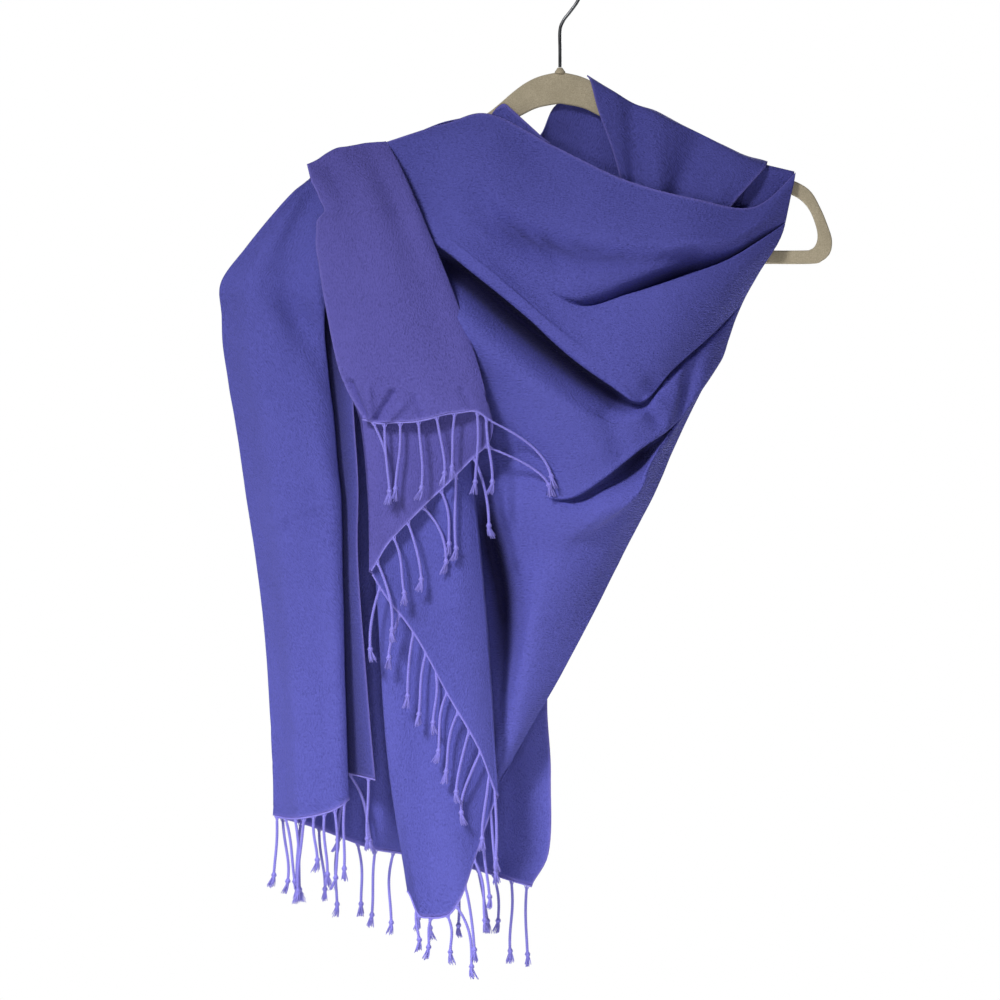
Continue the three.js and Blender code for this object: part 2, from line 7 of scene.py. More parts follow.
import bpy
import numpy as np
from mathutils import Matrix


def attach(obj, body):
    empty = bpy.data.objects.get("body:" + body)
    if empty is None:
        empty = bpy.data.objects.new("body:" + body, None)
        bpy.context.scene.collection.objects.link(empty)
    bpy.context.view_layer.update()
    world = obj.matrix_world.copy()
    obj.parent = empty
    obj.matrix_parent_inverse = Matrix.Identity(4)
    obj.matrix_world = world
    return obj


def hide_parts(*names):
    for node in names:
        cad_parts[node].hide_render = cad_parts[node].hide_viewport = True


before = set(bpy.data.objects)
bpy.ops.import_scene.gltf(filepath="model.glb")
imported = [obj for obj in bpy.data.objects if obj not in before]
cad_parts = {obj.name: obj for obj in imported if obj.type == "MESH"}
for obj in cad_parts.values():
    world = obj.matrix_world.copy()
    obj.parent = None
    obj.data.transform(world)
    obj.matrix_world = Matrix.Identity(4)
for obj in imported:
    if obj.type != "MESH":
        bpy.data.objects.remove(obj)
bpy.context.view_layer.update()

MM = 0.001
CLOTH_THICK = 0.9
HEM_THICK = 1.3
HEM_REACH = 1.3  # how far the thicker, paler hem reaches into the cloth
FOLD_BULGE = 1.6  # how far a fold between two sheets stands out
FOLD_TURNS = 6  # steps round such a fold

# Fringe cords
PLY_RADIUS = 0.74  # one of the two plies
PLY_PITCH = 3.8
PLY_APART = 0.8  # of its radius, from the cord's middle line
PLY_TURN_STEPS = 7
CORD_SWING = 2.4  # how soon a cord swings out, as a power
KNOT_RADIUS = 2.4
KNOT_LONG, KNOT_WIDE = 1.2, 0.84  # half its length and width, in its radius
KNOT_ABOVE_END = 10.5
COIL_RADIUS = 0.66  # of the turn of cord that closes the knot
COIL_TURNS, COIL_RISE, COIL_OUT = 1.15, 0.32, 0.72
BRUSH_HAIRS = 18
BRUSH_LONG = (7.2, 10)
BRUSH_SPREAD = 3.6
BRUSH_START = 0.7
BRUSH_BELOW = 0.8  # the knot's middle
BRUSH_LEAN = 0.35
HAIR_RADIUS = (0.5, 0.26)
LEG_RADIUS = (0.34, 0.55)  # of the two threads that join a cord to the hem
LEG_APART = 2.6
LEG_RISE, LEG_SAG = 1.2, 0.5
LEG_FOOT = 0.06  # share of the cord down to where its threads join
CORD_SWAY = (2.4, 1.2)  # of a cord's single and double bend
HEM_ROLL_RADIUS = 0.75
HEM_ROLL_DROP = 0.7

# Colours, as linear values
CLOTH_COLOUR = (0.084, 0.086, 0.375)
CLOTH_DARK = (0.044, 0.044, 0.235)
INSIDE_COLOUR = (0.094, 0.084, 0.345)
INSIDE_DARK = (0.052, 0.046, 0.225)
EDGE_COLOUR = (0.17, 0.15, 0.52)
PAINTED_SHADE_COLOUR = (0.006, 0.005, 0.045)  # painted shade in the bottom of the deepest folds
FRINGE_COLOUR = (0.2, 0.18, 0.6)
FRINGE_DARK = (0.12, 0.105, 0.44)
VELVET_COLOUR = (0.5, 0.43, 0.31)
VELVET_DARK = (0.29, 0.25, 0.17)
ROD_COLOUR = (0.16, 0.165, 0.175)

# Smooth curves and values through tables


def along(rows, t):
    """Smooth curve through a table of rows, t from 0 to 1 over the whole table."""
    rows = np.asarray(rows, float)
    last = len(rows) - 1
    at = np.clip(np.asarray(t, float), 0, 1) * last
    i = np.minimum(np.floor(at).astype(int), last - 1)
    f = (at - i)[..., None]
    a, b = rows[np.maximum(i - 1, 0)], rows[i]
    c, d = rows[i + 1], rows[np.minimum(i + 2, last)]
    bend = (2 * a - 5 * b + 4 * c - d) * f**2 + (3 * b - a - 3 * c + d) * f**3
    return b + 0.5 * ((c - a) * f + bend)


def even_value(values, t):
    return along(np.asarray(values, float)[:, None], t)[..., 0]


def mix(a, b, t):
    return a + (b - a) * t


def ease(t):
    return t * t * (3 - 2 * t)


def table_value(pairs, t):
    """Value of a table of [position, value] pairs, eased between them."""
    t = np.asarray(t, float)
    out = np.full(t.shape, float(pairs[0][1]))
    for (t0, v0), (t1, v1) in zip(pairs, pairs[1:]):
        out = np.where(t > t0, mix(v0, v1, ease(np.clip((t - t0) / (t1 - t0), 0, 1))), out)
    return out


# How strong a fold is from the top, 0, to the hem, 1
RISING = [[0, 0], [0.3, 1], [1, 1]]
TURNED_IN = [[0, 0], [0.12, 0.15], [0.22, 0.42], [0.34, 0.5], [0.44, 1], [0.58, 0.5], [0.8, 0]]
NEAR_TOP = [[0, 0], [0.16, 1], [0.36, 0.3], [0.6, 0]]
FROM_TOP = [[0, 0.5], [0.3, 1], [0.7, 0.2], [1, 0]]
QUICK = [[0, 0], [0.2, 1], [1, 1]]
LESS_QUICK = [[0, 0], [0.25, 1], [1, 1]]
EDGE_REACH = 0.12  # share of a sheet's width over which a moved edge fades


def fold_depth(folds, u, v):
    """Soft upright folds, each from one place across the cloth at the top to another at the hem."""
    depth = np.zeros(np.broadcast(u, v).shape)
    for f in folds:
        middle = mix(f["top"], f["hem"], v)
        strength = table_value(f.get("strength", RISING), v)
        depth += f["deep"] * strength * np.exp(-(((u - middle) / f["wide"]) ** 2))
    return depth


def hanging(s, u, v):
    """A hanging sheet. Rows run from the top down: left x, y, z and right x, y, z."""
    row = along(s["rows"], v)
    x = mix(row[..., 0], row[..., 3], u)
    y = mix(row[..., 1], row[..., 4], u)
    z = mix(row[..., 2], row[..., 5], u)
    y = y + s.get("belly", 0) * np.sin(np.pi * u) * ease(np.clip(v * 2, 0, 1))
    y = y + fold_depth(s.get("folds", []), u, v)
    grow = np.clip(v * 2.5, 0, 1)
    if "roll_left" in s:
        y = y + s["roll_left"][0] * np.exp(-u / s["roll_left"][1]) * grow
    if "roll_right" in s:
        y = y + s["roll_right"][0] * np.exp(-(1 - u) / s["roll_right"][1]) * grow
    if "left_in" in s:
        x = x + table_value(s["left_in"], v) * np.exp(-u / EDGE_REACH)
    if "right_out" in s:
        x = x + table_value(s["right_out"], v) * np.exp(-(1 - u) / EDGE_REACH)
    if "top_rise" in s:
        z = z + even_value(s["top_rise"], u) * (1 - v) ** 6
    if "hem_drop" in s:
        z = z + even_value(s["hem_drop"], u) * v**6
    return np.stack([x, y, z], -1)


FLAP = {
    "rows": [
        [-207, -9.5, -181, -143, -10.5, -162],
        [-203, -24, -194, -132, -27, -182],
        [-196, -38, -222, -116, -42, -218],
        [-197, -48, -256, -99, -53, -257],
        [-190, -54, -302, -81, -60, -304],
        [-179, -58, -352, -66, -65, -350],
        [-161, -60, -389, -55, -66, -391],
    ],
    "top_rise": [0, 1.5, 5, 7, 6, 5, 4, 2, 0],
    "hem_drop": [0, -3, -2, -1.5, 1, 5, 7, 8, 0],
    "roll_left": (5, 0.06),
    "roll_right": (4, 0.05),
    "left_in": [[0, 0], [0.16, -0.5], [0.25, 2], [0.315, 4.5], [0.37, -2.5], [0.43, -2], [0.55, 0], [1, 0]],
    "folds": [
        {"top": 0.2, "hem": 0.5, "wide": 0.13, "deep": 6, "strength": NEAR_TOP},
        {"top": 0.75, "hem": 0.85, "wide": 0.12, "deep": 4, "strength": FROM_TOP},
        {"top": 0.5, "hem": 0.62, "wide": 0.2, "deep": -3},
    ],
}

PLEAT_UPPER = {
    "rows": [
        [-186, -18.5, -192, -138, -19.5, -186],
        [-184, -29, -222, -118, -32, -218],
        [-182, -40, -262, -100, -43, -258],
        [-176, -48, -310, -82, -52, -305],
        [-164, -50, -370, -68, -56, -350],
        [-156, -49, -440, -60, -57, -385],
        [-154, -48, -512, -58, -57, -408],
    ],
    "belly": -2,
    "roll_left": (4, 0.05),
    "roll_right": (-3, 0.05),
    "hem_drop": [0, 7, 8, 7, 6, 4, 3, 2, 0],
    "folds": [{"top": 0.5, "hem": 0.55, "wide": 0.18, "deep": 3}],
}

PLEAT_MIDDLE = {
    "rows": [
        [-180, -16, -194, -140, -16.5, -190],
        [-182, -24.5, -224, -120, -27, -224],
        [-178, -36, -280, -97, -38, -280],
        [-166, -41, -350, -80, -44, -360],
        [-156, -41, -420, -71, -46, -450],
        [-154, -40, -470, -62, -44, -550],
        [-153, -39, -515, -52, -40, -695],
    ],
    "belly": -2,
    "roll_left": (-3, 0.05),
    "roll_right": (5, 0.06),
    "hem_drop": [0, 2, 9, 13, 13, 12, 13, 12, 0],
    "folds": [
        {"top": 0.6, "hem": 0.42, "wide": 0.16, "deep": 3},
        {"top": 0.9, "hem": 0.75, "wide": 0.14, "deep": -3},
    ],
}

PLEAT_LOWER = {
    "rows": [
        [-174, -13.5, -196, -144, -13.5, -194],
        [-178, -22.5, -236, -124, -23.5, -240],
        [-168, -31, -310, -100, -32, -310],
        [-157, -31, -400, -80, -34, -400],
        [-152, -29, -500, -66, -33, -500],
        [-146, -27, -600, -58, -31, -590],
        [-138, -27, -690, -54, -30, -650],
        [-125, -27, -774, -53, -31, -700],
    ],
    "belly": -2,
    "roll_left": (4, 0.06),
    "roll_right": (-3, 0.05),
    "hem_drop": [0, -28, -40, -49, -54, -48, -31, -14, 0],
    "folds": [
        {"top": 0.4, "hem": 0.3, "wide": 0.16, "deep": 4},
        {"top": 0.7, "hem": 0.62, "wide": 0.16, "deep": -4},
    ],
}

LEFT_PANEL = {
    "rows": [
        [-206, -1.6, -193, -160, -1.6, -170],
        [-217, -9.5, -203, -160, -9, -185],
        [-233, -4, -221, -170, -15, -213],
        [-256, -0.3, -249, -182, -20.5, -253],
        [-275.8, 2, -277, -191, -24.6, -285],
        [-274.8, 3, -304, -192.5, -27, -316],
        [-273, 3.6, -342, -189, -28.6, -352],
        [-261, 4, -415, -181, -30, -430],
        [-250, 4, -490, -178, -30, -500],
        [-239, 4, -582, -176, -29, -590],
        [-235, 4, -666, -174, -28, -665],
        [-234, 3, -714, -172.5, -27, -699],
    ],
    "belly": -9,
    "top_rise": [0, 3, 6, 7, 7, 7, 6, 4, 2],
    "hem_drop": [0, -3, -5, -6, -6.5, -6.5, -6, -4, 0],
    "roll_right": (7, 0.07),
    "folds": [
        {"top": 0.05, "hem": 1.7, "wide": 0.2, "deep": 13, "strength": TURNED_IN},
        {"top": 0.62, "hem": 0.72, "wide": 0.16, "deep": 3},
        {"top": 0.2, "hem": 0.32, "wide": 0.14, "deep": -4},
    ],
}

# The narrow strip beside the front panel, with its selvedge forward and its inner side turned back
LEFT_PLEAT = {
    "rows": [
        [-186, 0, -250, -171, -13, -262],
        [-194, 1, -300, -170, -16, -306],
        [-193, 2, -376, -169, -18.5, -376],
        [-191, 2, -440, -165, -19.5, -440],
        [-190, 2, -488, -165.5, -19.5, -488],
        [-189, 2, -527, -163.8, -19, -527],
        [-186, 2, -578, -160, -18.5, -578],
        [-183, 2, -629, -156, -18, -629],
        [-180, 2, -677, -151, -17.5, -683],
    ],
    "folds": [{"top": 0.95, "hem": 0.9, "wide": 0.35, "deep": -3.5}],
}

# Top edge of the back, left to right: x, y, z
BACK_TOP = [
    [-205, 0.85, -193],
    [-184, 0.85, -168.5],
    [-143, 0.85, -164],
    [-94, 0.85, -146],
    [-64, 4.4, -139.5],
    [-46, 6, -136],
    [-19, 6.5, -157],
    [-5, 6.5, -132],
    [24, 4.4, -112],
    [42, 2.8, -120.5],
    [60, 1.2, -133],
    [105, 0.95, -155],
    [170, 1, -180.5],
    [192, 1.2, -187.5],
]

BACK_PANEL = {
    "rows": [
        [-206, 4, -194, 192, 4, -188],
        [-217, 4, -203, 188, 7, -205],
        [-233, 3.7, -221, 180, 9, -226],
        [-256, 4, -249, 160, 11, -264],
        [-275.8, 4.8, -277, 137, 13, -302],
        [-274.8, 5.4, -304, 119, 14, -336],
        [-273, 6, -342, 98.5, 15, -372],
        [-261, 6, -415, 66, 16, -440],
        [-250, 6, -490, 30, 16, -515],
        [-239, 6, -582, -8, 15, -600],
        [-235, 6, -666, -8, 13, -690],
        [-234, 5, -714, -23, 12, -772],
    ],
    "belly": 16,
    "right_out": [[0, 0], [0.9, 0], [0.965, 8], [1, 0]],
    "hem_drop": [0, 0, -3, -5, -3, -1, 1, 0, 0],
    "folds": [
        {"top": 0.2, "hem": 0.22, "wide": 0.06, "deep": 9},
        {"top": 0.33, "hem": 0.4, "wide": 0.05, "deep": -9},
        {"top": 0.5, "hem": 0.55, "wide": 0.07, "deep": 10},
        {"top": 0.66, "hem": 0.7, "wide": 0.05, "deep": -8},
        {"top": 0.8, "hem": 0.86, "wide": 0.05, "deep": 9},
    ],
}
TOP_SHAPED = 1 / 2.2  # share of the back's length that follows its top edge sideways and in height
TOP_TIGHT = 1 / 70  # share of it that follows the top edge in depth


def back(u, v):
    """The back's rows start from its own shaped top edge."""
    p = hanging(BACK_PANEL, u, v)
    top = along(BACK_TOP, u + 0 * v)
    line = hanging(BACK_PANEL, u, 0 * v)
    keep = (1 - np.clip(v / TOP_SHAPED, 0, 1)) ** 1.5
    keep_y = (1 - np.clip(v / TOP_TIGHT, 0, 1)) ** 2
    p[..., 0] += (top[..., 0] - line[..., 0]) * keep
    p[..., 1] += (top[..., 1] - line[..., 1]) * keep_y
    p[..., 2] += (top[..., 2] - line[..., 2]) * keep
    return p


# The draped front. Each line runs left to right: x, y, z
NECK_LINE = [
    [-150, -0.85, -164],
    [-94, -0.85, -146],
    [-57, -8, -139],
    [-5, -24, -166],
    [52, -36, -194],
    [110, -40, -210],
    [158, -26, -216],
    [193, -4.6, -187],
]
UPPER_LIP = [
    [-140, -11, -206],
    [-104, -24, -214],
    [-66, -40, -238],
    [-26, -50, -272],
    [15, -57, -297],
    [55, -61, -288],
    [99, -59, -273.5],
    [142, -42, -257],
    [184, -11, -229],
]
POUCH_LIP = [
    [-125, -16, -232],
    [-100, -37, -247],
    [-66, -52, -273],
    [-28, -60, -305],
    [8, -63, -336],
    [40, -62, -360],
    [66, -58, -374],
    [92, -50, -347.5],
    [125, -34, -318.5],
    [149, -11, -294],
]
LOWER_LIP = [
    [-84, -8, -396],
    [-58, -26, -422],
    [-28, -44, -446],
    [4.5, -53, -453],
    [35, -56, -437],
    [66, -53, -413],
    [92, -44, -394],
    [113, -30, -368],
    [130, -12, -343],
]
MID_FRONT = [
    [-76, -4, -560],
    [-62, -8, -561],
    [-46, -24, -562],
    [-30, -34, -563],
    [-14, -33, -562],
    [2, -26, -561],
    [13, -19, -560],
    [21, -13, -560],
]
LOW_FRONT = [
    [-70, -2, -690],
    [-66, -6, -691],
    [-62, -15, -692],
    [-60, -21, -692],
    [-57, -20, -692],
    [-55, -19, -692],
    [-53, -17, -691],
    [-51, -14, -690],
]
ROLL_OUT = [[0, 4], [0.15, 8], [0.28, 7], [0.4, 2], [0.8, 2], [1, 3]]
# Ways a fold goes back from its line. Each point: up from the line, and share of the fold's depth
OVERHANG = [[6, -0.03], [0.5, 0], [-0.5, 0.35], [-1, 0.8], [-5, 1], [-11, 0.8], [-18, 0.36], [-27, 0.05]]
UNDERCUT = [[27, 0.02], [17, 0.24], [9, 0.62], [4, 0.96], [1, 1], [0.3, 0.5], [-0.5, 0.02], [-7, -0.06]]

# Depth of each fold from left to right
UPPER_DEPTH = [[0, 0], [0.42, 0], [0.56, 14], [0.74, 28], [0.9, 14], [1, 3]]
POUCH_DEPTH = [
    [0, 6],
    [0.08, 14],
    [0.2, 40],
    [0.4, 48],
    [0.56, 34],
    [0.68, 12],
    [0.78, 14],
    [0.92, 8],
    [1, 0],
]
LOWER_DEPTH = [[0, 0], [0.3, 0], [0.45, 16], [0.62, 30], [0.74, 16], [0.9, 0], [1, 0]]

# Folds of the draped front from the top down. Each leans its own way near the right edge
FOLDS = [
    {"line": UPPER_LIP, "form": UNDERCUT, "deep": UPPER_DEPTH, "lean": (0.2, 0.98)},
    {"line": POUCH_LIP, "form": OVERHANG, "deep": POUCH_DEPTH, "lean": (0.42, 0.91)},
    {"line": LOWER_LIP, "form": OVERHANG, "deep": LOWER_DEPTH, "lean": (0.6, 0.8)},
]
LEAN_FROM, LEAN_FULL = 0.5, 0.8  # where a fold turns to follow the right edge
LINE_STEP = 0.04  # over which a line's direction is measured
DEEPEST = 30  # a fold this deep, or deeper, has the full reach of its form
LEAST_REACH = 0.15  # share of that reach where a fold runs out

# Fullness of the cloth between two folds, forward, and the gap between them that shows it in full
FULLNESS = (6, 5)
FULL_GAP = 80

# Softer valleys of the draped front. Each point: x, z, depth, reach above its line, reach below it
VALLEYS = [
    [
        [-80, -196, 0, 12, 12],
        [-57, -222, 9, 8, 15],
        [-32, -238, 15, 7, 17],
        [9, -251, 15, 7, 16],
        [57, -259, 13, 8, 12],
        [107, -258, 7, 9, 8],
    ],
    [
        [58, -368, 2, 6, 6],
        [68, -378, 6, 6, 6],
        [78, -390, 4, 6, 6],
        [84, -396, 0, 6, 6],
    ],
    [
        [108, -336, 3, 3, 8],
        [102.5, -354, 9, 3, 9],
        [97.5, -377, 9, 3, 9],
        [93, -394, 4, 4, 8],
    ],
    [
        [70, -352, 0, 8, 8],
        [74, -362, 7, 9, 9],
        [86, -366, 3, 9, 9],
        [96, -364, 0, 8, 8],
    ],
    [
        [30, -380, 0, 12, 12],
        [42, -400, 5, 12, 12],
        [50, -416, 3, 10, 10],
    ],
    [
        [-66, -436, 10, 10, 10],
        [-58, -480, 26, 11, 13],
        [-47, -530, 27, 12, 15],
        [-46, -580, 20, 10, 13],
        [-50, -630, 10, 8, 9],
        [-55, -680, 3, 7, 7],
    ],
    [
        [-20, -470, 0, 14, 14],
        [-34, -520, 5, 14, 12],
        [-42, -600, 5, 10, 10],
        [-50, -680, 2, 8, 8],
    ],
]
VALLEY_STEPS = 90
VALLEYS_END = 0.06  # share of the width at the right edge over which valleys fade
VALLEY_PAINTED_SHADE = (9, 24)  # depths from which a valley gets painted shade, and at which the painted shade is darkest


def above(fold, u):
    """Direction across a fold in the front view, pointing to the cloth above it."""
    line = fold["line"]
    way = along(line, np.minimum(u + LINE_STEP, 1)) - along(line, np.maximum(u - LINE_STEP, 0))
    size = np.hypot(way[..., 0], way[..., 2])
    to_edge = ease(np.clip((u - LEAN_FROM) / (LEAN_FULL - LEAN_FROM), 0, 1))
    across = mix(-way[..., 2] / size, fold["lean"][0], to_edge)
    up = mix(way[..., 0] / size, fold["lean"][1], to_edge)
    return np.stack([across, 0 * up, up], -1)


def valley_depth(rows, x, z):
    """How far a valley pushes back the cloth at x, z: steep or gentle on either side of its line."""
    line = along(rows, np.linspace(0, 1, VALLEY_STEPS))
    dx, dz = x[..., None] - line[:, 0], z[..., None] - line[:, 1]
    near = np.argmin(dx**2 + dz**2, axis=-1)
    dx = np.take_along_axis(dx, near[..., None], -1)[..., 0]
    dz = np.take_along_axis(dz, near[..., None], -1)[..., 0]
    gap = np.hypot(dx, dz)
    way = np.gradient(line[:, :2], axis=0)
    side = dz * way[near, 0] - dx * way[near, 1]
    higher = side * np.sign(line[-1, 0] - line[0, 0]) > 0
    reach = np.where(higher, line[near, 3], line[near, 4])
    return np.maximum(line[near, 2], 0) * np.exp(-((gap / reach) ** 2))


def open_row(points):
    """A row of points that lies in no fold."""
    return np.concatenate([points, np.zeros((len(points), 1))], 1)


def drape_columns(u):
    """Down each column of the draped front: x, y, z and how deep in a fold, from 0 to 1."""
    neck, first = along(NECK_LINE, u), along(UPPER_LIP, u)
    roll = neck - np.array([0, 1, 0]) * table_value(ROLL_OUT, u)[:, None]
    rows = [neck, mix(roll, first, np.array([0.08, 0, 0.1])), mix(roll, first, np.array([0.4, 0.5, 0.4]))]
    rows = [open_row(points) for points in rows]
    for k, fold in enumerate(FOLDS):
        line, n = along(fold["line"], u), above(fold, u)
        deep = table_value(fold["deep"], u)[:, None]
        reach = mix(LEAST_REACH, 1, np.minimum(deep / DEEPEST, 1))
        for up, share in fold["form"]:
            points = line + n * up * reach + deep * share * np.array([0, 1, 0])
            rows.append(np.concatenate([points, np.clip(share * deep / DEEPEST, 0, 1)], 1))
        if k < len(FULLNESS):
            below = along(FOLDS[k + 1]["line"], u)
            gap = np.linalg.norm(below - line, axis=1)
            full = FULLNESS[k] * np.minimum(gap / FULL_GAP, 1) ** 2
            rows.append(open_row(mix(line, below, 0.6) - full[:, None] * np.array([0, 1, 0])))
    low, mid, end = along(LOWER_LIP, u), along(MID_FRONT, u), along(LOW_FRONT, u)
    hanging_free = [mix(low, mid, 0.45), mix(low, mid, 0.7), mid, mix(mid, end, 0.5), end]
    rows += [open_row(points) for points in hanging_free]
    return np.stack(rows)


def down(columns, v):
    """Smooth way down columns of points whose rows lie at uneven gaps."""
    step = np.diff(columns, axis=0)
    gap = np.maximum(np.linalg.norm(step[..., :3], axis=-1, keepdims=True), 0.01)
    slope = step / gap
    way = (slope[:-1] * gap[1:] + slope[1:] * gap[:-1]) / (gap[:-1] + gap[1:])
    way = np.concatenate([slope[:1], way, slope[-1:]])
    at = np.clip(v, 0, 1) * len(step)
    i = np.minimum(np.floor(at).astype(int), len(step) - 1)
    f = (at - i)[:, None, None]
    a, b = columns[i], columns[i + 1]
    start, end = way[i] * gap[i], way[i + 1] * gap[i]
    return a + start * f + (3 * (b - a) - 2 * start - end) * f**2 + (2 * (a - b) + start + end) * f**3


def drape(u, v):
    """The draped front at one row and one column of places, and how much painted shade each place takes."""
    p = down(drape_columns(u), v)
    to_edge = ease(np.clip((1 - u) / VALLEYS_END, 0, 1))
    x, z = p[..., 0].copy(), p[..., 2].copy()
    # Painted shade, darker the deeper the cloth lies in a fold or a valley
    dark = np.clip(p[..., 3], 0, 1) ** 1.6
    shallow, deep = VALLEY_PAINTED_SHADE
    for rows in VALLEYS:
        depth = valley_depth(rows, x, z) * to_edge
        p[..., 1] += depth
        dark = np.maximum(dark, np.clip((depth - shallow) / (deep - shallow), 0, 1))
    return p[..., :3], dark


COLLAR_BAND = {
    "rows": [
        [22, -0.95, -107.5, 170, -0.95, -178],
        [25, -8, -113, 168, -7.5, -183],
        [31, -12, -136, 160, -12, -192],
        [39, -14, -158, 150, -15, -203],
        [46, -16, -180, 140, -17, -215],
        [52, -17, -205, 130, -18, -230],
    ],
    "top_rise": [0, -3, -6.5, -2, -3.5, -3.4, -4, -3.8, 0],
    "folds": [
        {"top": 0.28, "hem": 0.12, "wide": 0.07, "deep": 5, "strength": QUICK},
        {"top": 0.42, "hem": 0.34, "wide": 0.1, "deep": -4},
        {"top": 0.66, "hem": 0.52, "wide": 0.09, "deep": 5, "strength": LESS_QUICK},
        {"top": 0.9, "hem": 0.86, "wide": 0.1, "deep": -2},
    ],
}

SHOULDER_LOOP = {
    "rows": [
        [160, -0.75, -178.5, 192, -0.75, -186],
        [159, -4.8, -183, 191, -3.4, -190],
        [152, -5, -200, 184, -3.6, -200],
        [146, -6, -220, 173, -5, -213],
    ],
}

NECK_WRAP = {
    "rows": [
        [-58, -3.9, -141, -8, -17, -163],
        [-64, -4.9, -148, -12, -17, -170],
        [-66, -6.5, -156, -16, -17.5, -180],
    ],
    "top_rise": [0, 10, 16, 14, 11, 8, 5, 2, 0],
}

# Small relief of the cloth

# Soft buckles, ripples and fine crinkle: height, size across the grain, size along it
RELIEF = [
    [1.2, 38, 90],
    [0.3, 13, 40],
    [0.05, 2.6, 9],
]
NOISE_CELLS = 64


def value_noise(x, y, seed):
    """Smooth noise from -1 to 1 on a grid of unit cells."""
    rng = np.random.default_rng(seed)
    table = rng.uniform(-1, 1, (NOISE_CELLS, NOISE_CELLS))
    ix, iy = np.floor(x).astype(int), np.floor(y).astype(int)
    fx, fy = ease(x - ix), ease(y - iy)
    left, right = ix % NOISE_CELLS, (ix + 1) % NOISE_CELLS
    near, far = iy % NOISE_CELLS, (iy + 1) % NOISE_CELLS
    nearer = mix(table[left, near], table[right, near], fx)
    farther = mix(table[left, far], table[right, far], fx)
    return mix(nearer, farther, fy)


def lengths(p):
    """How far each point of a grid lies along its row and down its column, in millimetres."""
    across = np.linalg.norm(np.diff(p, axis=1), axis=2)
    downward = np.linalg.norm(np.diff(p, axis=0), axis=2)
    a = np.concatenate([np.zeros((len(p), 1)), np.cumsum(across, 1)], 1)
    d = np.concatenate([np.zeros((1, p.shape[1])), np.cumsum(downward, 0)], 0)
    return a, d


def normals(p):
    du, dv = np.gradient(p, axis=1), np.gradient(p, axis=0)
    n = np.cross(du, dv)
    return n / np.maximum(np.linalg.norm(n, axis=2, keepdims=True), 1e-9)


def relief(a, d, seed, grain_down):
    """Unevenness of the cloth, longer along the grain."""
    along_grain, over_grain = (d, a) if grain_down else (a, d)
    out = np.zeros(a.shape)
    for k, (height, across, long) in enumerate(RELIEF):
        out += height * value_noise(over_grain / across, along_grain / long, seed + k)
    return out


def creases(lines, p):
    """Soft troughs: x, z of both ends in the front view, width and depth."""
    out = np.zeros(p.shape[:2])
    for x0, z0, x1, z1, wide, deep in lines:
        dx, dz = x1 - x0, z1 - z0
        t = ((p[..., 0] - x0) * dx + (p[..., 2] - z0) * dz) / (dx * dx + dz * dz)
        t = np.clip(t, 0, 1)
        gap = np.hypot(p[..., 0] - x0 - t * dx, p[..., 2] - z0 - t * dz)
        out += deep * np.exp(-((gap / wide) ** 2))
    return out


# Meshes


def mesh_object(name, points, faces, uvs=None, marks=None, painted_shades=None):
    mesh = bpy.data.meshes.new(name)
    points = np.asarray(points, float) * MM
    faces = np.asarray(faces, int)
    mesh.vertices.add(len(points))
    mesh.vertices.foreach_set("co", points.ravel())
    count = faces.shape[1]
    mesh.loops.add(faces.size)
    mesh.loops.foreach_set("vertex_index", faces.ravel())
    mesh.polygons.add(len(faces))
    mesh.polygons.foreach_set("loop_start", np.arange(len(faces)) * count)
    mesh.polygons.foreach_set("use_smooth", np.ones(len(faces), bool))
    if uvs is not None:
        layer = mesh.uv_layers.new(name="cloth")
        layer.data.foreach_set("uv", (np.asarray(uvs, float) * MM)[faces.ravel()].ravel())
    if marks is not None:
        # The 'edge' attribute marks the hem; the 'deep' attribute carries painted shade, from 0 to 1
        for title, values in (("edge", marks), ("deep", painted_shades)):
            layer = mesh.attributes.new(title, "FLOAT", "POINT")
            layer.data.foreach_set("value", np.asarray(values, float))
    mesh.update(calc_edges=True)
    mesh.validate()
    obj = bpy.data.objects.new(name, mesh)
    bpy.context.scene.collection.objects.link(obj)
    return obj


def shell(name, p, thick, uv, mark, deep):
    """A closed thin shell on a grid of points, with thickness given at each point."""
    rows, cols = p.shape[:2]
    n = normals(p)
    half = (thick / 2)[..., None]
    points = np.concatenate([(p + n * half).reshape(-1, 3), (p - n * half).reshape(-1, 3)])
    index = np.arange(rows * cols).reshape(rows, cols)
    back_side = index + rows * cols
    a, b, c, d = index[:-1, :-1], index[:-1, 1:], index[1:, 1:], index[1:, :-1]
    quads = [np.stack([a, b, c, d], -1).reshape(-1, 4)]
    quads.append((np.stack([a, d, c, b], -1) + rows * cols).reshape(-1, 4))
    for front, rear, turn in (
        (index[0], back_side[0], 1),
        (index[-1], back_side[-1], -1),
        (index[:, 0], back_side[:, 0], -1),
        (index[:, -1], back_side[:, -1], 1),
    ):
        quad = np.stack([front[:-1], rear[:-1], rear[1:], front[1:]], -1)
        quads.append(quad[:, ::turn])
    uvs = np.concatenate([uv.reshape(-1, 2), uv.reshape(-1, 2)])
    marks = np.concatenate([mark.ravel(), mark.ravel()])
    # Painted shade, the same on both sides of the shell
    painted_shades = np.concatenate([deep.ravel(), deep.ravel()])
    return mesh_object(name, points, np.concatenate(quads), uvs, marks, painted_shades)


def edge_mark(a, d, hems):
    """1 on the named edges, falling to 0 within about 2 mm."""
    gaps = {"left": a, "right": a[:, -1:] - a, "top": d, "foot": d[-1:] - d}
    gap = np.full(a.shape, 99.0)
    for side in hems:
        gap = np.minimum(gap, gaps[side])
    return np.exp(-((gap / HEM_REACH) ** 2))


def crowd(count, amount=0.0):
    """Places from 0 to 1, closer together near both ends by the amount."""
    t = np.linspace(0, 1, count)
    return mix(t, 0.5 - 0.5 * np.cos(np.pi * t), amount)


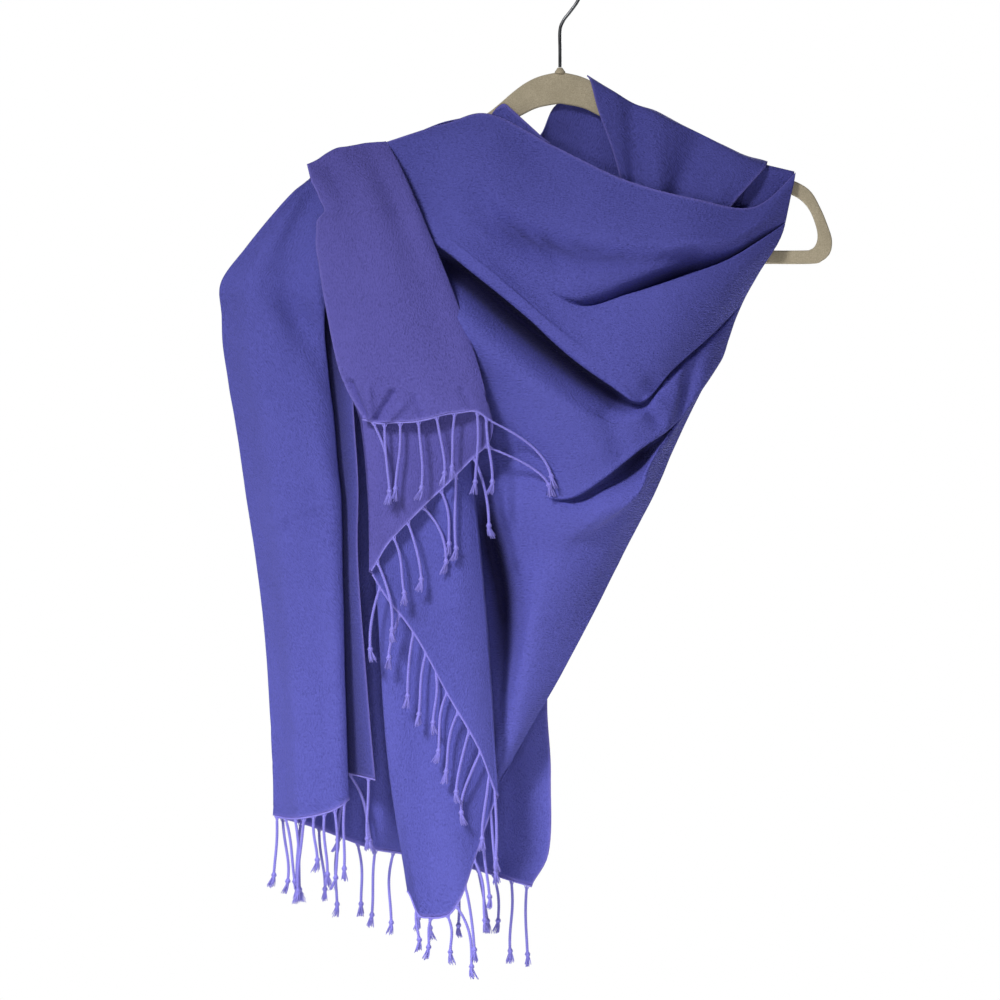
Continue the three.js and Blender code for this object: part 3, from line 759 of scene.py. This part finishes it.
def join_folds(grids, bulges):
    """Grids side by side with a round fold between each two, which stands out sideways by its bulge."""
    out = [grids[0]]
    for following, bulge in zip(grids[1:], bulges):
        before, after = out[-1][:, -1], following[:, 0]
        for k in range(1, FOLD_TURNS):
            t = k / FOLD_TURNS
            point = mix(before, after, ease(t)) + np.array([bulge * np.sin(np.pi * t), 0, 0])
            out.append(point[:, None])
        out.append(following)
    return np.concatenate(out, 1)


# Materials


class Look:
    """A material whose colour, roughness and relief come from noise."""

    def __init__(self, name):
        self.material = bpy.data.materials.new(name)
        self.material.use_nodes = True
        self.nodes, self.links = self.material.node_tree.nodes, self.material.node_tree.links
        self.shader = self.nodes["Principled BSDF"]
        self.relief = None

    def fill(self, node, values):
        """Gives each named input of a node its value, or a link from another node."""
        for key, value in values.items():
            if isinstance(value, bpy.types.NodeSocket):
                self.links.new(value, node.inputs[key])
            else:
                node.inputs[key].default_value = value
        return node

    def noise(self, place, scale, detail, roughness):
        """Noise with a size of its own along each axis."""
        stretch = self.fill(self.nodes.new("ShaderNodeMapping"), {"Scale": scale, "Vector": place})
        values = {"Vector": stretch.outputs["Vector"], "Scale": 1.0, "Detail": detail, "Roughness": roughness}
        return self.fill(self.nodes.new("ShaderNodeTexNoise"), values).outputs["Fac"]

    def ranged(self, value, source, target=(0, 1)):
        """A value carried from one range to another."""
        values = {"Value": value, "From Min": source[0], "From Max": source[1]}
        values.update({"To Min": target[0], "To Max": target[1]})
        return self.fill(self.nodes.new("ShaderNodeMapRange"), values).outputs["Result"]

    def mixed(self, share, low, high):
        """Colour that goes from low to high by the share. Either may come from another node."""
        node = self.nodes.new("ShaderNodeMix")
        node.data_type = "RGBA"
        self.links.new(share, node.inputs["Factor"])
        for title, value in (("A", low), ("B", high)):
            socket = next(s for s in node.inputs if s.name == title and s.type == "RGBA")
            if isinstance(value, tuple):
                socket.default_value = (*value, 1)
            else:
                self.links.new(value, socket)
        return next(s for s in node.outputs if s.type == "RGBA")

    def attribute(self, title):
        node = self.nodes.new("ShaderNodeAttribute")
        node.attribute_name = title
        return node.outputs["Fac"]

    def place(self):
        return self.nodes.new("ShaderNodeTexCoord").outputs["Object"]

    def bump(self, value, strength, distance):
        """Relief by a value, on top of the relief that is there."""
        values = {"Height": value, "Strength": strength, "Distance": distance}
        if self.relief is not None:
            values["Normal"] = self.relief
        self.relief = self.fill(self.nodes.new("ShaderNodeBump"), values).outputs["Normal"]
        self.fill(self.shader, {"Normal": self.relief})


# Noise in the cloth: scale over the grain and along it, detail, roughness
SLUB = (780, 230, 4.0, 0.6)
CREPE = (760, 480, 2.0, 0.7)
WEAVE = (1700, 700, 2.0, 0.6)
HEM_SHARE = 0.8  # of the hem's own colour, on its edge


def cloth_material(name, colour, dark, grain_down=True):
    """Fine soft wool and silk: slub along the grain, a crossed weave, soft sheen, pale selvedge, and painted
    shade where the 'deep' attribute marks deep folds.
    """
    look = Look(name)
    uv = look.nodes.new("ShaderNodeUVMap")
    uv.uv_map = "cloth"
    uv = uv.outputs["UV"]

    def grain(over, along_it, detail, roughness):
        scale = (over, along_it, 1) if grain_down else (along_it, over, 1)
        return look.noise(uv, scale, detail, roughness)

    slub, crepe, weave = grain(*SLUB), grain(*CREPE), grain(*WEAVE)
    wide = look.noise(uv, (14, 9, 1), 3.0, 0.5)
    hem = look.ranged(look.attribute("edge"), (0, 1), (0, HEM_SHARE))
    shade = look.mixed(look.ranged(crepe, (0.38, 0.62)), dark, colour)
    shade = look.mixed(look.ranged(slub, (0.4, 0.75)), shade, colour)
    shade = look.mixed(look.ranged(wide, (0.3, 0.9)), shade, colour)
    shade = look.mixed(hem, shade, EDGE_COLOUR)
    # Painted shade: the colour darkens towards near black where the 'deep' attribute is high
    shade = look.mixed(look.attribute("deep"), shade, PAINTED_SHADE_COLOUR)
    rough = look.ranged(slub, (0, 1), (0.58, 0.78))
    look.fill(look.shader, {"Base Color": shade, "Roughness": rough, "Specular IOR Level": 0.2})
    sheen = {"Sheen Weight": 0.08, "Sheen Roughness": 0.35, "Sheen Tint": (0.5, 0.5, 1, 1)}
    look.fill(look.shader, sheen)
    look.bump(slub, 0.9, 0.0012)
    look.bump(crepe, 1.0, 0.0014)
    look.bump(weave, 0.6, 0.0006)
    return look.material


def fringe_material():
    look = Look("fringe_cord")
    place = look.place()
    fibre = look.noise(place, (1500, 1500, 500), 3.0, 0.6)
    wide = look.noise(place, (60, 60, 30), 2.0, 0.5)
    shade = look.mixed(look.ranged(fibre, (0.35, 0.65)), FRINGE_DARK, FRINGE_COLOUR)
    shade = look.mixed(look.ranged(wide, (0.45, 0.9)), shade, EDGE_COLOUR)
    look.fill(look.shader, {"Base Color": shade, "Roughness": 0.55})
    look.fill(look.shader, {"Sheen Weight": 0.3, "Sheen Tint": (0.7, 0.66, 1, 1)})
    look.bump(fibre, 0.5, 0.0003)
    return look.material


def velvet_material():
    look = Look("flocked_velvet")
    place = look.place()
    pile = look.noise(place, (1600, 1600, 1600), 3.0, 0.65)
    patch = look.noise(place, (45, 45, 45), 3.0, 0.5)
    shade = look.mixed(look.ranged(pile, (0.3, 0.62)), VELVET_DARK, VELVET_COLOUR)
    shade = look.mixed(look.ranged(patch, (0.35, 1.1)), shade, VELVET_DARK)
    look.fill(look.shader, {"Base Color": shade, "Roughness": 0.95, "Specular IOR Level": 0.1})
    look.fill(look.shader, {"Sheen Weight": 0.45, "Sheen Tint": (1, 0.95, 0.85, 1)})
    look.bump(pile, 0.45, 0.0004)
    return look.material


def rod_material():
    look = Look("hook_rod")
    brushed = look.noise(look.place(), (900, 900, 120), 2.0, 0.5)
    dark = tuple(0.6 * c for c in ROD_COLOUR)
    shade = look.mixed(look.ranged(brushed, (0.3, 0.7)), dark, ROD_COLOUR)
    rough = look.ranged(brushed, (0, 1), (0.22, 0.42))
    look.fill(look.shader, {"Base Color": shade, "Metallic": 1.0, "Roughness": rough})
    return look.material


CLOTH = cloth_material("shawl_cloth", CLOTH_COLOUR, CLOTH_DARK)
CLOTH_ACROSS = cloth_material("shawl_cloth_across", CLOTH_COLOUR, CLOTH_DARK, grain_down=False)
INSIDE_CLOTH = cloth_material("shawl_cloth_inside", INSIDE_COLOUR, INSIDE_DARK)
FRINGE = fringe_material()
VELVET = velvet_material()
ROD = rod_material()


def dress(obj, materials, replaced):
    for m in materials:
        obj.data.materials.append(m)
    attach(obj, "root")
    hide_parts(*replaced)
    return obj


def finish_grid(name, p, seed, material, replaced, hems, quiet, lines=(), across=False, deep=None):
    """Relief, then a shell with a slightly thicker hem. Cloth laid across takes its grain from the view."""
    a, d = lengths(p)
    uv = np.stack([p[..., 0], p[..., 2]] if across else [a, d], -1)
    push = relief(uv[..., 0], uv[..., 1], seed, not across) * quiet + creases(lines, p)
    p = p + normals(p) * push[..., None]
    mark = edge_mark(a, d, hems)
    thick = CLOTH_THICK + (HEM_THICK - CLOTH_THICK) * mark
    # deep is painted shade, from 0 to 1, none unless given
    deep = np.zeros(a.shape) if deep is None else deep
    return dress(shell(name, p, thick, uv, mark, deep), [material], replaced)


def show_other_side(obj, size, first_column):
    """Gives the second material to every column of a shell from the one given."""
    rows, columns = size[0] - 1, size[1] - 1
    other = (np.arange(columns) >= first_column).astype(int)
    rim = np.concatenate([other, other, np.zeros(rows, int), np.ones(rows, int)])
    obj.data.polygons.foreach_set("material_index", np.concatenate([np.tile(other, rows * 2), rim]))


# Pieces of cloth

fine = 1.0


def steps(count):
    return max(int(count * fine), 4)


def grid(shape, across, rows, crowding=0.3):
    u = crowd(steps(across), crowding)[None, :]
    v = np.linspace(0, 1, steps(rows))[:, None]
    return hanging(shape, u, v)


def cascade():
    """Flap and three pleats behind it, one cloth folded to and fro, and where the middle pleat starts."""
    rows = 170
    sheets = [
        grid(FLAP, 66, rows),
        grid(PLEAT_UPPER, 50, rows)[:, ::-1],
        grid(PLEAT_MIDDLE, 50, rows),
        grid(PLEAT_LOWER, 54, rows)[:, ::-1],
    ]
    folds_before = (FOLD_TURNS - 1) + FOLD_TURNS // 2
    middle_from = sheets[0].shape[1] + sheets[1].shape[1] + folds_before
    return join_folds(sheets, [FOLD_BULGE, -FOLD_BULGE, FOLD_BULGE]), middle_from


def wrap():
    """The back, and round the left fold the left front panel. Rows lie closer together near the top."""
    v = (np.linspace(0, 1, steps(190)) ** 1.15)[:, None]
    sheets = [
        back(crowd(steps(112), 0.2)[None, :], v)[:, ::-1],
        hanging(LEFT_PANEL, crowd(steps(66), 0.3)[None, :], v),
    ]
    return join_folds(sheets, [-FOLD_BULGE])


# Creases across the wrapped end and puckers above the flap's hem: x, z of both ends, width, depth
WRAP_CREASES = [
    (-243, -484, -222, -476, 3.5, 1.8),
    (-222, -476, -192, -466, 4, 1.4),
    (-242, -476, -205, -464, 4, -1.1),
    (-232, -640, -205, -652, 5, 1),
    (-120, -520, -40, -480, 7, 1.5),
    (-170, -330, -60, -372, 9, 2.2),
    (-60, -300, 70, -330, 9, 2),
]
FLAP_PUCKERS = [
    (-170, -360, -159, -386, 2.8, 4.5),
    (-156, -364, -154, -388, 2.4, -3),
    (-136, -368, -149, -389, 2.6, 4.5),
    (-126, -377, -140, -391, 2.4, -3),
    (-119, -372, -113, -386, 2.2, 2.4),
    (-80, -366, -68, -388, 3.2, 1.6),
]

# The small pieces: name, shape, columns, rows, seed, node, hems, share of the relief
SMALL_PIECES = {
    "collar": ("collar_cloth", COLLAR_BAND, 90, 70, 53, "collar_band", ("left", "right"), 0.4),
    "loop": ("loop_cloth", SHOULDER_LOOP, 30, 40, 61, "shoulder_loop", (), 0.2),
    "neck": ("neck_wrap_cloth", NECK_WRAP, 60, 24, 67, "neck_wrap", ("top",), 0.2),
}

pieces = {}
cascade_grid, middle_from = cascade()
pieces["cascade"] = finish_grid(
    "cascade_cloth",
    cascade_grid,
    11,
    INSIDE_CLOTH,
    ["flap", "pleat_upper", "pleat_middle", "pleat_lower"],
    ("left", "foot"),
    0.8,
    lines=FLAP_PUCKERS,
)
pieces["cascade"].data.materials.append(CLOTH)
show_other_side(pieces["cascade"], cascade_grid.shape, middle_from)
turned_round = ["back_panel", "left_panel"]
pieces["wrap"] = finish_grid(
    "wrapped_end_cloth", wrap(), 23, CLOTH, turned_round, ("left", "foot"), 0.9, lines=WRAP_CREASES
)
pleat_grid = grid(LEFT_PLEAT, 30, 150, 0.2)
# Painted shade across the narrow pleat, darkest on its turned-back left side
pleat_painted_shade = np.tile(1 - 0.7 * ease(np.linspace(0, 1, pleat_grid.shape[1])), (len(pleat_grid), 1))
pieces["pleat"] = finish_grid(
    "narrow_pleat_cloth", pleat_grid, 31, CLOTH, ["left_pleat"], ("right", "foot"), 0.4, deep=pleat_painted_shade
)
# The draped front, with painted shade in its deep folds and valleys
drape_grid, drape_painted_shade = drape(crowd(steps(170), 0.2), np.linspace(0, 1, steps(236)))
pieces["drape"] = finish_grid(
    "draped_front_cloth",
    drape_grid,
    41,
    CLOTH_ACROSS,
    ["front_drape"],
    ("top",),
    0.8,
    across=True,
    deep=drape_painted_shade,
)
for key, (name, shape, across, rows, seed, node, hems, quiet) in SMALL_PIECES.items():
    p = grid(shape, across, rows, 0)
    pieces[key] = finish_grid(name, p, seed, CLOTH_ACROSS, [node], hems, quiet)

# Sheets with fringe on their hem. None stands for the back
FRINGED = {
    "fringe_flap": FLAP,
    "fringe_upper": PLEAT_UPPER,
    "fringe_middle": PLEAT_MIDDLE,
    "fringe_lower": PLEAT_LOWER,
    "fringe_left": LEFT_PANEL,
    "fringe_pleat": LEFT_PLEAT,
    "fringe_back": None,
}

# Fringe cords on each hem: place across the hem, sideways, to the back, long
CORDS = {
    "fringe_flap": [
        [0.08, 13, 2, 66],
        [0.17, 5, -1, 66],
        [0.29, -4, 0, 64],
        [0.43, 1, 0, 64],
        [0.57, 5, 0, 56],
        [0.71, -3, 0, 54],
        [0.88, -2, 1, 67],
        [0.95, 4, -1, 62],
        [0.99, 50, 4, 55],
    ],
    "fringe_upper": [
        [0.05, 11, 0, 66],
        [0.19, 11, 0, 56],
        [0.31, 11, 0, 57],
        [0.44, 18, 0, 55],
        [0.59, 7, 0, 54],
        [0.72, 1, 0, 70],
        [0.87, 12, 1, 66],
        [0.97, 52, 2, 42],
    ],
    "fringe_middle": [
        [0.06, -7, 0, 61],
        [0.22, -8, 0, 46],
        [0.33, -5, 0, 62],
        [0.43, -7, 0, 60],
        [0.51, -2, 0, 52],
        [0.6, -8, 0, 58],
        [0.69, -11, 0, 59],
        [0.78, -11, 0, 60],
        [0.87, -14, 0, 60],
        [0.94, -5, 0, 62],
        [0.985, 0, 1, 66],
    ],
    "fringe_lower": [
        [0.1, 3, 0, 34],
        [0.27, -5, 0, 34],
        [0.46, 3, 0, 40],
        [0.56, 12, 0, 60],
        [0.66, 8, 0, 62],
        [0.76, 10, 0, 60],
        [0.86, 6, 0, 62],
        [0.95, 5, 0, 60],
    ],
    "fringe_left": [
        [0.03, -3, -2, 58],
        [0.15, 9, 0, 62],
        [0.28, 4, 0, 68],
        [0.4, -4, 0, 70],
        [0.53, 2, 0, 46],
        [0.67, 2, 0, 60],
        [0.81, 0, 0, 66],
        [0.94, -1, 1, 64],
    ],
    "fringe_pleat": [
        [0.08, -4, 3, 66],
        [0.24, 19, 3, 66],
        [0.8, 0, 4, 60],
    ],
    "fringe_back": [
        [0.03, 2, 3, 62],
        [0.1, -3, 2, 64],
        [0.17, 4, 2, 60],
        [0.25, -2, 1, 66],
        [0.32, 3, 1, 60],
        [0.39, -4, 0, 64],
        [0.46, -2, 0, 68],
        [0.54, 3, 0, 62],
        [0.62, -3, 0, 66],
        [0.7, 2, 0, 60],
        [0.79, 9, 0, 52],
        [0.85, 3, 0, 48],
        [0.92, 0, 0, 68],
        [0.98, 1, 0, 67],
    ],
}


def sweep(path, radius, sides):
    """A closed tube along a path of points, with a radius at each."""
    way = np.gradient(path, axis=0)
    way /= np.linalg.norm(way, axis=1, keepdims=True)
    side = np.cross(way, [0.0, 1.0, 0.0])
    side /= np.maximum(np.linalg.norm(side, axis=1, keepdims=True), 1e-9)
    up = np.cross(side, way)
    angle = np.linspace(0, 2 * np.pi, sides, endpoint=False)
    ring = side[:, None] * np.cos(angle)[None, :, None] + up[:, None] * np.sin(angle)[None, :, None]
    points = path[:, None] + ring * np.asarray(radius, float)[:, None, None]
    count = len(path)
    index = np.arange(count * sides).reshape(count, sides)
    nxt = np.roll(index, -1, axis=1)
    quads = np.stack([index[:-1], nxt[:-1], nxt[1:], index[1:]], -1).reshape(-1, 4)
    points = np.concatenate([points.reshape(-1, 3), path[:1], path[-1:]])
    first, last = count * sides, count * sides + 1
    caps = [[first, nxt[0, k], index[0, k], index[0, k]] for k in range(sides)]
    caps += [[last, index[-1, k], nxt[-1, k], nxt[-1, k]] for k in range(sides)]
    return points, quads, np.array(caps)[:, :3]


class Heap:
    """Gathers closed pieces into one mesh of triangles."""

    def __init__(self):
        self.points, self.faces, self.count = [], [], 0

    def add(self, points, quads, caps):
        faces = np.concatenate([quads[:, [0, 1, 2]], quads[:, [0, 2, 3]], caps])
        self.points.append(points)
        self.faces.append(faces + self.count)
        self.count += len(points)

    def object(self, name):
        return mesh_object(name, np.concatenate(self.points), np.concatenate(self.faces))


def cord_path(root, side, back_way, long, wobble):
    """Middle line of a hanging cord, from its root to its loose end."""
    t = np.linspace(0, 1, 34)
    swing = 1 - (1 - t) ** CORD_SWING
    sway = wobble[0] * np.sin(np.pi * t) * CORD_SWAY[0] + wobble[1] * np.sin(2 * np.pi * t) * CORD_SWAY[1]
    x = root[0] + side * swing + sway
    y = root[1] + back_way * swing
    z = root[2] - long * t
    return np.stack([x, y, z], -1), t


def add_knot(heap, centre, way):
    """A round knot with a turn of cord about it."""
    s = np.linspace(-1, 1, 9)
    line = centre + way * (s * KNOT_RADIUS * KNOT_LONG)[:, None]
    heap.add(*sweep(line, KNOT_RADIUS * KNOT_WIDE * np.sqrt(np.maximum(1 - s**2, 0.02)), 9))
    turn = np.linspace(0, COIL_TURNS * 2 * np.pi, 22)
    coil = np.stack([np.cos(turn), np.sin(turn), COIL_RISE * (turn / np.pi - 1.1)], -1)
    heap.add(*sweep(centre + coil * KNOT_RADIUS * COIL_OUT, np.full(len(turn), COIL_RADIUS), 6))


def add_brush(heap, centre, way, rng):
    """Loose ends that spread below the knot and lean to one side."""
    lean = rng.uniform(-BRUSH_LEAN, BRUSH_LEAN)
    f = np.linspace(0, 1, 6)[:, None]
    for _ in range(BRUSH_HAIRS):
        reach, turn = np.sqrt(rng.uniform(0, 1)), rng.uniform(0, 2 * np.pi)
        out = np.array([np.cos(turn), np.sin(turn), 0.0]) * reach
        length = rng.uniform(*BRUSH_LONG)
        hair = centre + way * (BRUSH_BELOW + length * f)
        hair = hair + out * (BRUSH_START + (BRUSH_SPREAD - BRUSH_START) * f**0.8)
        hair = hair + np.array([lean * length, 0, 0]) * f**1.6
        heap.add(*sweep(hair, np.linspace(*HAIR_RADIUS, len(f)), 4))


def add_cord(heap, root, hem_way, spec, rng):
    """Two plies twisted together, a knot, a short brush below it, and two threads from the hem."""
    _, side, back_way, long = spec
    path, t = cord_path(root, side, back_way, long, rng.uniform(-1, 1, 2))

    def at(share):
        return np.stack([np.interp(share, t, path[:, k]) for k in range(3)], -1)

    knot = 1 - KNOT_ABOVE_END / long
    turns = long * knot / PLY_PITCH
    places = np.linspace(0, knot, steps(int(turns * PLY_TURN_STEPS) + 8))
    angle = turns * 2 * np.pi * places / knot
    taper = np.interp(places, [0, 0.08, knot], [0.75, 1.0, 1.0]) * PLY_RADIUS
    for start in (0, np.pi):
        around = np.stack([np.cos(angle + start), np.sin(angle + start), 0 * angle], -1)
        heap.add(*sweep(at(places) + around * taper[:, None] * PLY_APART, taper, 6))
    way = at(knot + 0.02) - at(knot - 0.06)
    way /= np.linalg.norm(way)
    add_knot(heap, at(knot), way)
    add_brush(heap, at(knot), way, rng)
    f = np.linspace(0, 1, 6)[:, None]
    for sign in (-1, 1):
        start = root + hem_way * sign * LEG_APART + np.array([0, 0, LEG_RISE])
        leg = mix(start, at(LEG_FOOT), f) - np.array([0, 0, LEG_SAG]) * np.sin(np.pi * f)
        heap.add(*sweep(leg, np.linspace(*LEG_RADIUS, len(f)), 5))


def hem_points(shape, u):
    v = np.ones_like(u)
    return back(u, v) if shape is None else hanging(shape, u, v)


HEM_STEP = 0.02  # over which a hem's direction is measured


def fringe(name, shape, cords, seed):
    """A roll along the hem and the cords that hang from it."""
    rng = np.random.default_rng(seed)
    heap = Heap()
    u = np.linspace(0, 1, 90)
    roll = hem_points(shape, u) - np.array([0, 0, HEM_ROLL_DROP])
    heap.add(*sweep(roll, np.full(len(u), HEM_ROLL_RADIUS), 6))
    for spec in cords:
        here = np.array([spec[0]])
        root = hem_points(shape, here)[0] + np.array([0, 0, -1.0])
        before = hem_points(shape, np.maximum(here - HEM_STEP, 0))[0]
        after = hem_points(shape, np.minimum(here + HEM_STEP, 1))[0]
        way = (after - before) / np.linalg.norm(after - before)
        add_cord(heap, root, way, spec, rng)
    return dress(heap.object(name + "_cords"), [FRINGE], [name])


for number, (name, cords) in enumerate(CORDS.items()):
    pieces[name] = fringe(name, FRINGED[name], cords, 100 + number)

# Hanger

# Right half of the flat bar, from the top middle round to the bottom: outer x, z and inner x, z
HANGER_BAR = [
    [0, -104, 0, -130],
    [16, -107.5, 18, -133.5],
    [28, -113, 31, -139.5],
    [39, -121, 46, -147.5],
    [50, -130.5, 59, -154.5],
    [62, -139.5, 71, -159.5],
    [82, -149, 88, -167],
    [100, -157, 104, -173.5],
    [125, -168.3, 127, -183],
    [150, -179.5, 150, -192],
    [172, -187, 169, -197.6],
    [192, -193.5, 186, -203.3],
    [205, -201.5, 197, -209],
    [213.2, -215, 204.5, -217.5],
    [219.5, -230, 209.5, -229.5],
    [223, -242, 211.2, -239],
    [221.5, -252.5, 209.5, -246],
    [215, -259, 205.5, -249.6],
    [205, -261.5, 198, -250.5],
    [160, -261.5, 158, -250.5],
    [80, -261.5, 80, -250.5],
    [0, -261.5, 0, -250.5],
]
HANGER_THICK = 5.5
EDGE_ROUND = 1.6
# Small collar at the foot of the hook: radius, z
ROD_COLLAR = [[4.6, -105.5], [4.2, -103.8], [2.9, -102], [2.3, -101], [1.9, -100.6]]


def hanger_bar():
    """A closed flat bar with rounded edges, bent round into the hanger's frame."""
    right = along(HANGER_BAR, np.linspace(0, 1, steps(260)))
    left = right[::-1][1:-1] * np.array([-1, 1, -1, 1])
    ring = np.concatenate([right, left])
    outer, inner = ring[:, [0, 1]], ring[:, [2, 3]]
    middle, half = (outer + inner) / 2, (outer - inner) / 2
    wide = np.linalg.norm(half, axis=1)
    section = []
    for out, back_way in ((1, -1), (-1, -1), (-1, 1), (1, 1)):
        turns = np.linspace(0, np.pi / 2, 5)
        if out * back_way > 0:
            turns = turns[::-1]
        for turn in turns:
            inset = EDGE_ROUND * (1 - np.cos(turn))
            y = back_way * (HANGER_THICK / 2 - EDGE_ROUND * (1 - np.sin(turn)))
            section.append((out, inset, y))
    rows = []
    for out, inset, y in section:
        share = (out * (wide - inset) / wide)[:, None]
        flat = middle + half * share
        rows.append(np.stack([flat[:, 0], np.full(len(flat), y), flat[:, 1]], -1))
    points = np.stack(rows, 1)
    count, around = points.shape[:2]
    index = np.arange(count * around).reshape(count, around)
    nxt = np.roll(index, -1, axis=0)
    quads = np.stack([index, np.roll(index, -1, 1), np.roll(nxt, -1, 1), nxt], -1)
    return points.reshape(-1, 3), quads.reshape(-1, 4)


def turned(profile, sides):
    """A closed body turned about the upright axis: rows of radius and z."""
    profile = np.array(profile, float)
    path = np.stack([0 * profile[:, 1], 0 * profile[:, 1], profile[:, 1]], -1)
    return sweep(path, profile[:, 0], sides)


def hanger():
    points, quads = hanger_bar()
    heap = Heap()
    heap.add(points, quads, np.zeros((0, 3), int))
    heap.add(*turned(ROD_COLLAR, 24))
    return dress(heap.object("velvet_hanger"), [VELVET], ["hanger_body"])


# The hook's straight part from its foot up, x and z, then its round end
HOOK_NECK = [[0, -100.2], [0, -86], [0, -70], [2.8, -62], [8.5, -54.5], [14.5, -46]]
HOOK_RADIUS = 23.3
ROD_RADIUS = 1.35
HOOK_START = -0.62  # radians, where the round end starts
HOOK_TURN = 3.95  # radians, how far it goes round


def hook():
    bend = HOOK_START + np.linspace(0, 1, 11) * HOOK_TURN
    x = HOOK_RADIUS * np.cos(bend)
    z = ROD_RADIUS - HOOK_RADIUS + HOOK_RADIUS * np.sin(bend)
    line = np.concatenate([np.array(HOOK_NECK), np.stack([x, z], -1)])
    line = along(line, np.linspace(0, 1, steps(220)))
    path = np.stack([line[:, 0], 0 * line[:, 0], line[:, 1]], -1)
    heap = Heap()
    heap.add(*sweep(path, np.full(len(path), ROD_RADIUS), 20))
    return dress(heap.object("wire_hook"), [ROD], ["hanger_hook"])


pieces["hanger"] = hanger()
pieces["hook"] = hook()

# Camera, floor and light

PICTURE_MM = 820.0
VIEW_CENTRE = (-0.0492, -0.4551)
CAMERA_AWAY = 6.0
SENSOR = 36.0
AMBIENT = 0.085
FLOOR_HALF = 3.0
FLOOR_Z = -1.25

camera = bpy.data.objects.new("camera", bpy.data.cameras.new("camera"))
camera.data.sensor_width = SENSOR
camera.data.lens = SENSOR * CAMERA_AWAY / (PICTURE_MM * MM)
camera.location = (VIEW_CENTRE[0], -CAMERA_AWAY, VIEW_CENTRE[1])
camera.rotation_euler = (np.pi / 2, 0, 0)
camera.data.clip_end = 50
bpy.context.scene.collection.objects.link(camera)
bpy.context.scene.camera = camera

# A white surround that gives less light than it shows
world = bpy.data.worlds.new("studio")
bpy.context.scene.world = world
world.use_nodes = True
world_nodes, world_links = world.node_tree.nodes, world.node_tree.links
surround = world_nodes["Background"]
surround.inputs["Color"].default_value = (1, 1, 1, 1)
surround.inputs["Strength"].default_value = 1.0
ambient = world_nodes.new("ShaderNodeBackground")
ambient.inputs["Color"].default_value = (0.95, 0.96, 1, 1)
ambient.inputs["Strength"].default_value = AMBIENT
seen = world_nodes.new("ShaderNodeLightPath")
choice = world_nodes.new("ShaderNodeMixShader")
world_links.new(seen.outputs["Is Camera Ray"], choice.inputs["Fac"])
world_links.new(ambient.outputs["Background"], choice.inputs[1])
world_links.new(surround.outputs["Background"], choice.inputs[2])
world_links.new(choice.outputs["Shader"], world_nodes["World Output"].inputs["Surface"])
bpy.context.scene.view_settings.view_transform = "Standard"


def area_light(name, place, target, size, power, spread):
    data = bpy.data.lights.new(name, "AREA")
    data.shape = "SQUARE"
    data.size = size
    data.energy = power
    data.spread = np.radians(spread)
    light = bpy.data.objects.new(name, data)
    light.location = place
    way = np.array(target) - np.array(place)
    way = way / np.linalg.norm(way)
    light.rotation_euler = (np.arccos(-way[2]), 0, np.arctan2(way[1], way[0]) - np.pi / 2)
    bpy.context.scene.collection.objects.link(light)


# Place, what the light points at, size, power, spread in degrees
LIGHTS = {
    "key": ((-1.3, -2.0, 1.15), (-0.02, 0, -1.06), 0.6, 7.1, 42),
    "front": ((-0.1, -2.6, -0.9), (-0.05, 0, -0.95), 0.8, 3.0, 46),
    "back": ((0.5, 2.5, 0.7), (-0.05, 0, -0.5), 1.6, 48, 180),
}
for name, light in LIGHTS.items():
    area_light(name, *light)

corners = [(x * FLOOR_HALF, y * FLOOR_HALF) for x, y in ((-1, -1), (1, -1), (1, 1), (-1, 1))]
floor_mesh = bpy.data.meshes.new("floor")
floor_mesh.from_pydata([(x, y, FLOOR_Z) for x, y in corners], [], [(0, 1, 2, 3)])
floor = bpy.data.objects.new("floor", floor_mesh)
pale = Look("pale_floor")
pale.fill(pale.shader, {"Base Color": (0.9, 0.9, 0.9, 1), "Roughness": 0.9})
pale.fill(pale.shader, {"Emission Color": (1, 1, 1, 1), "Emission Strength": 0.4})
floor_mesh.materials.append(pale.material)
bpy.context.scene.collection.objects.link(floor)
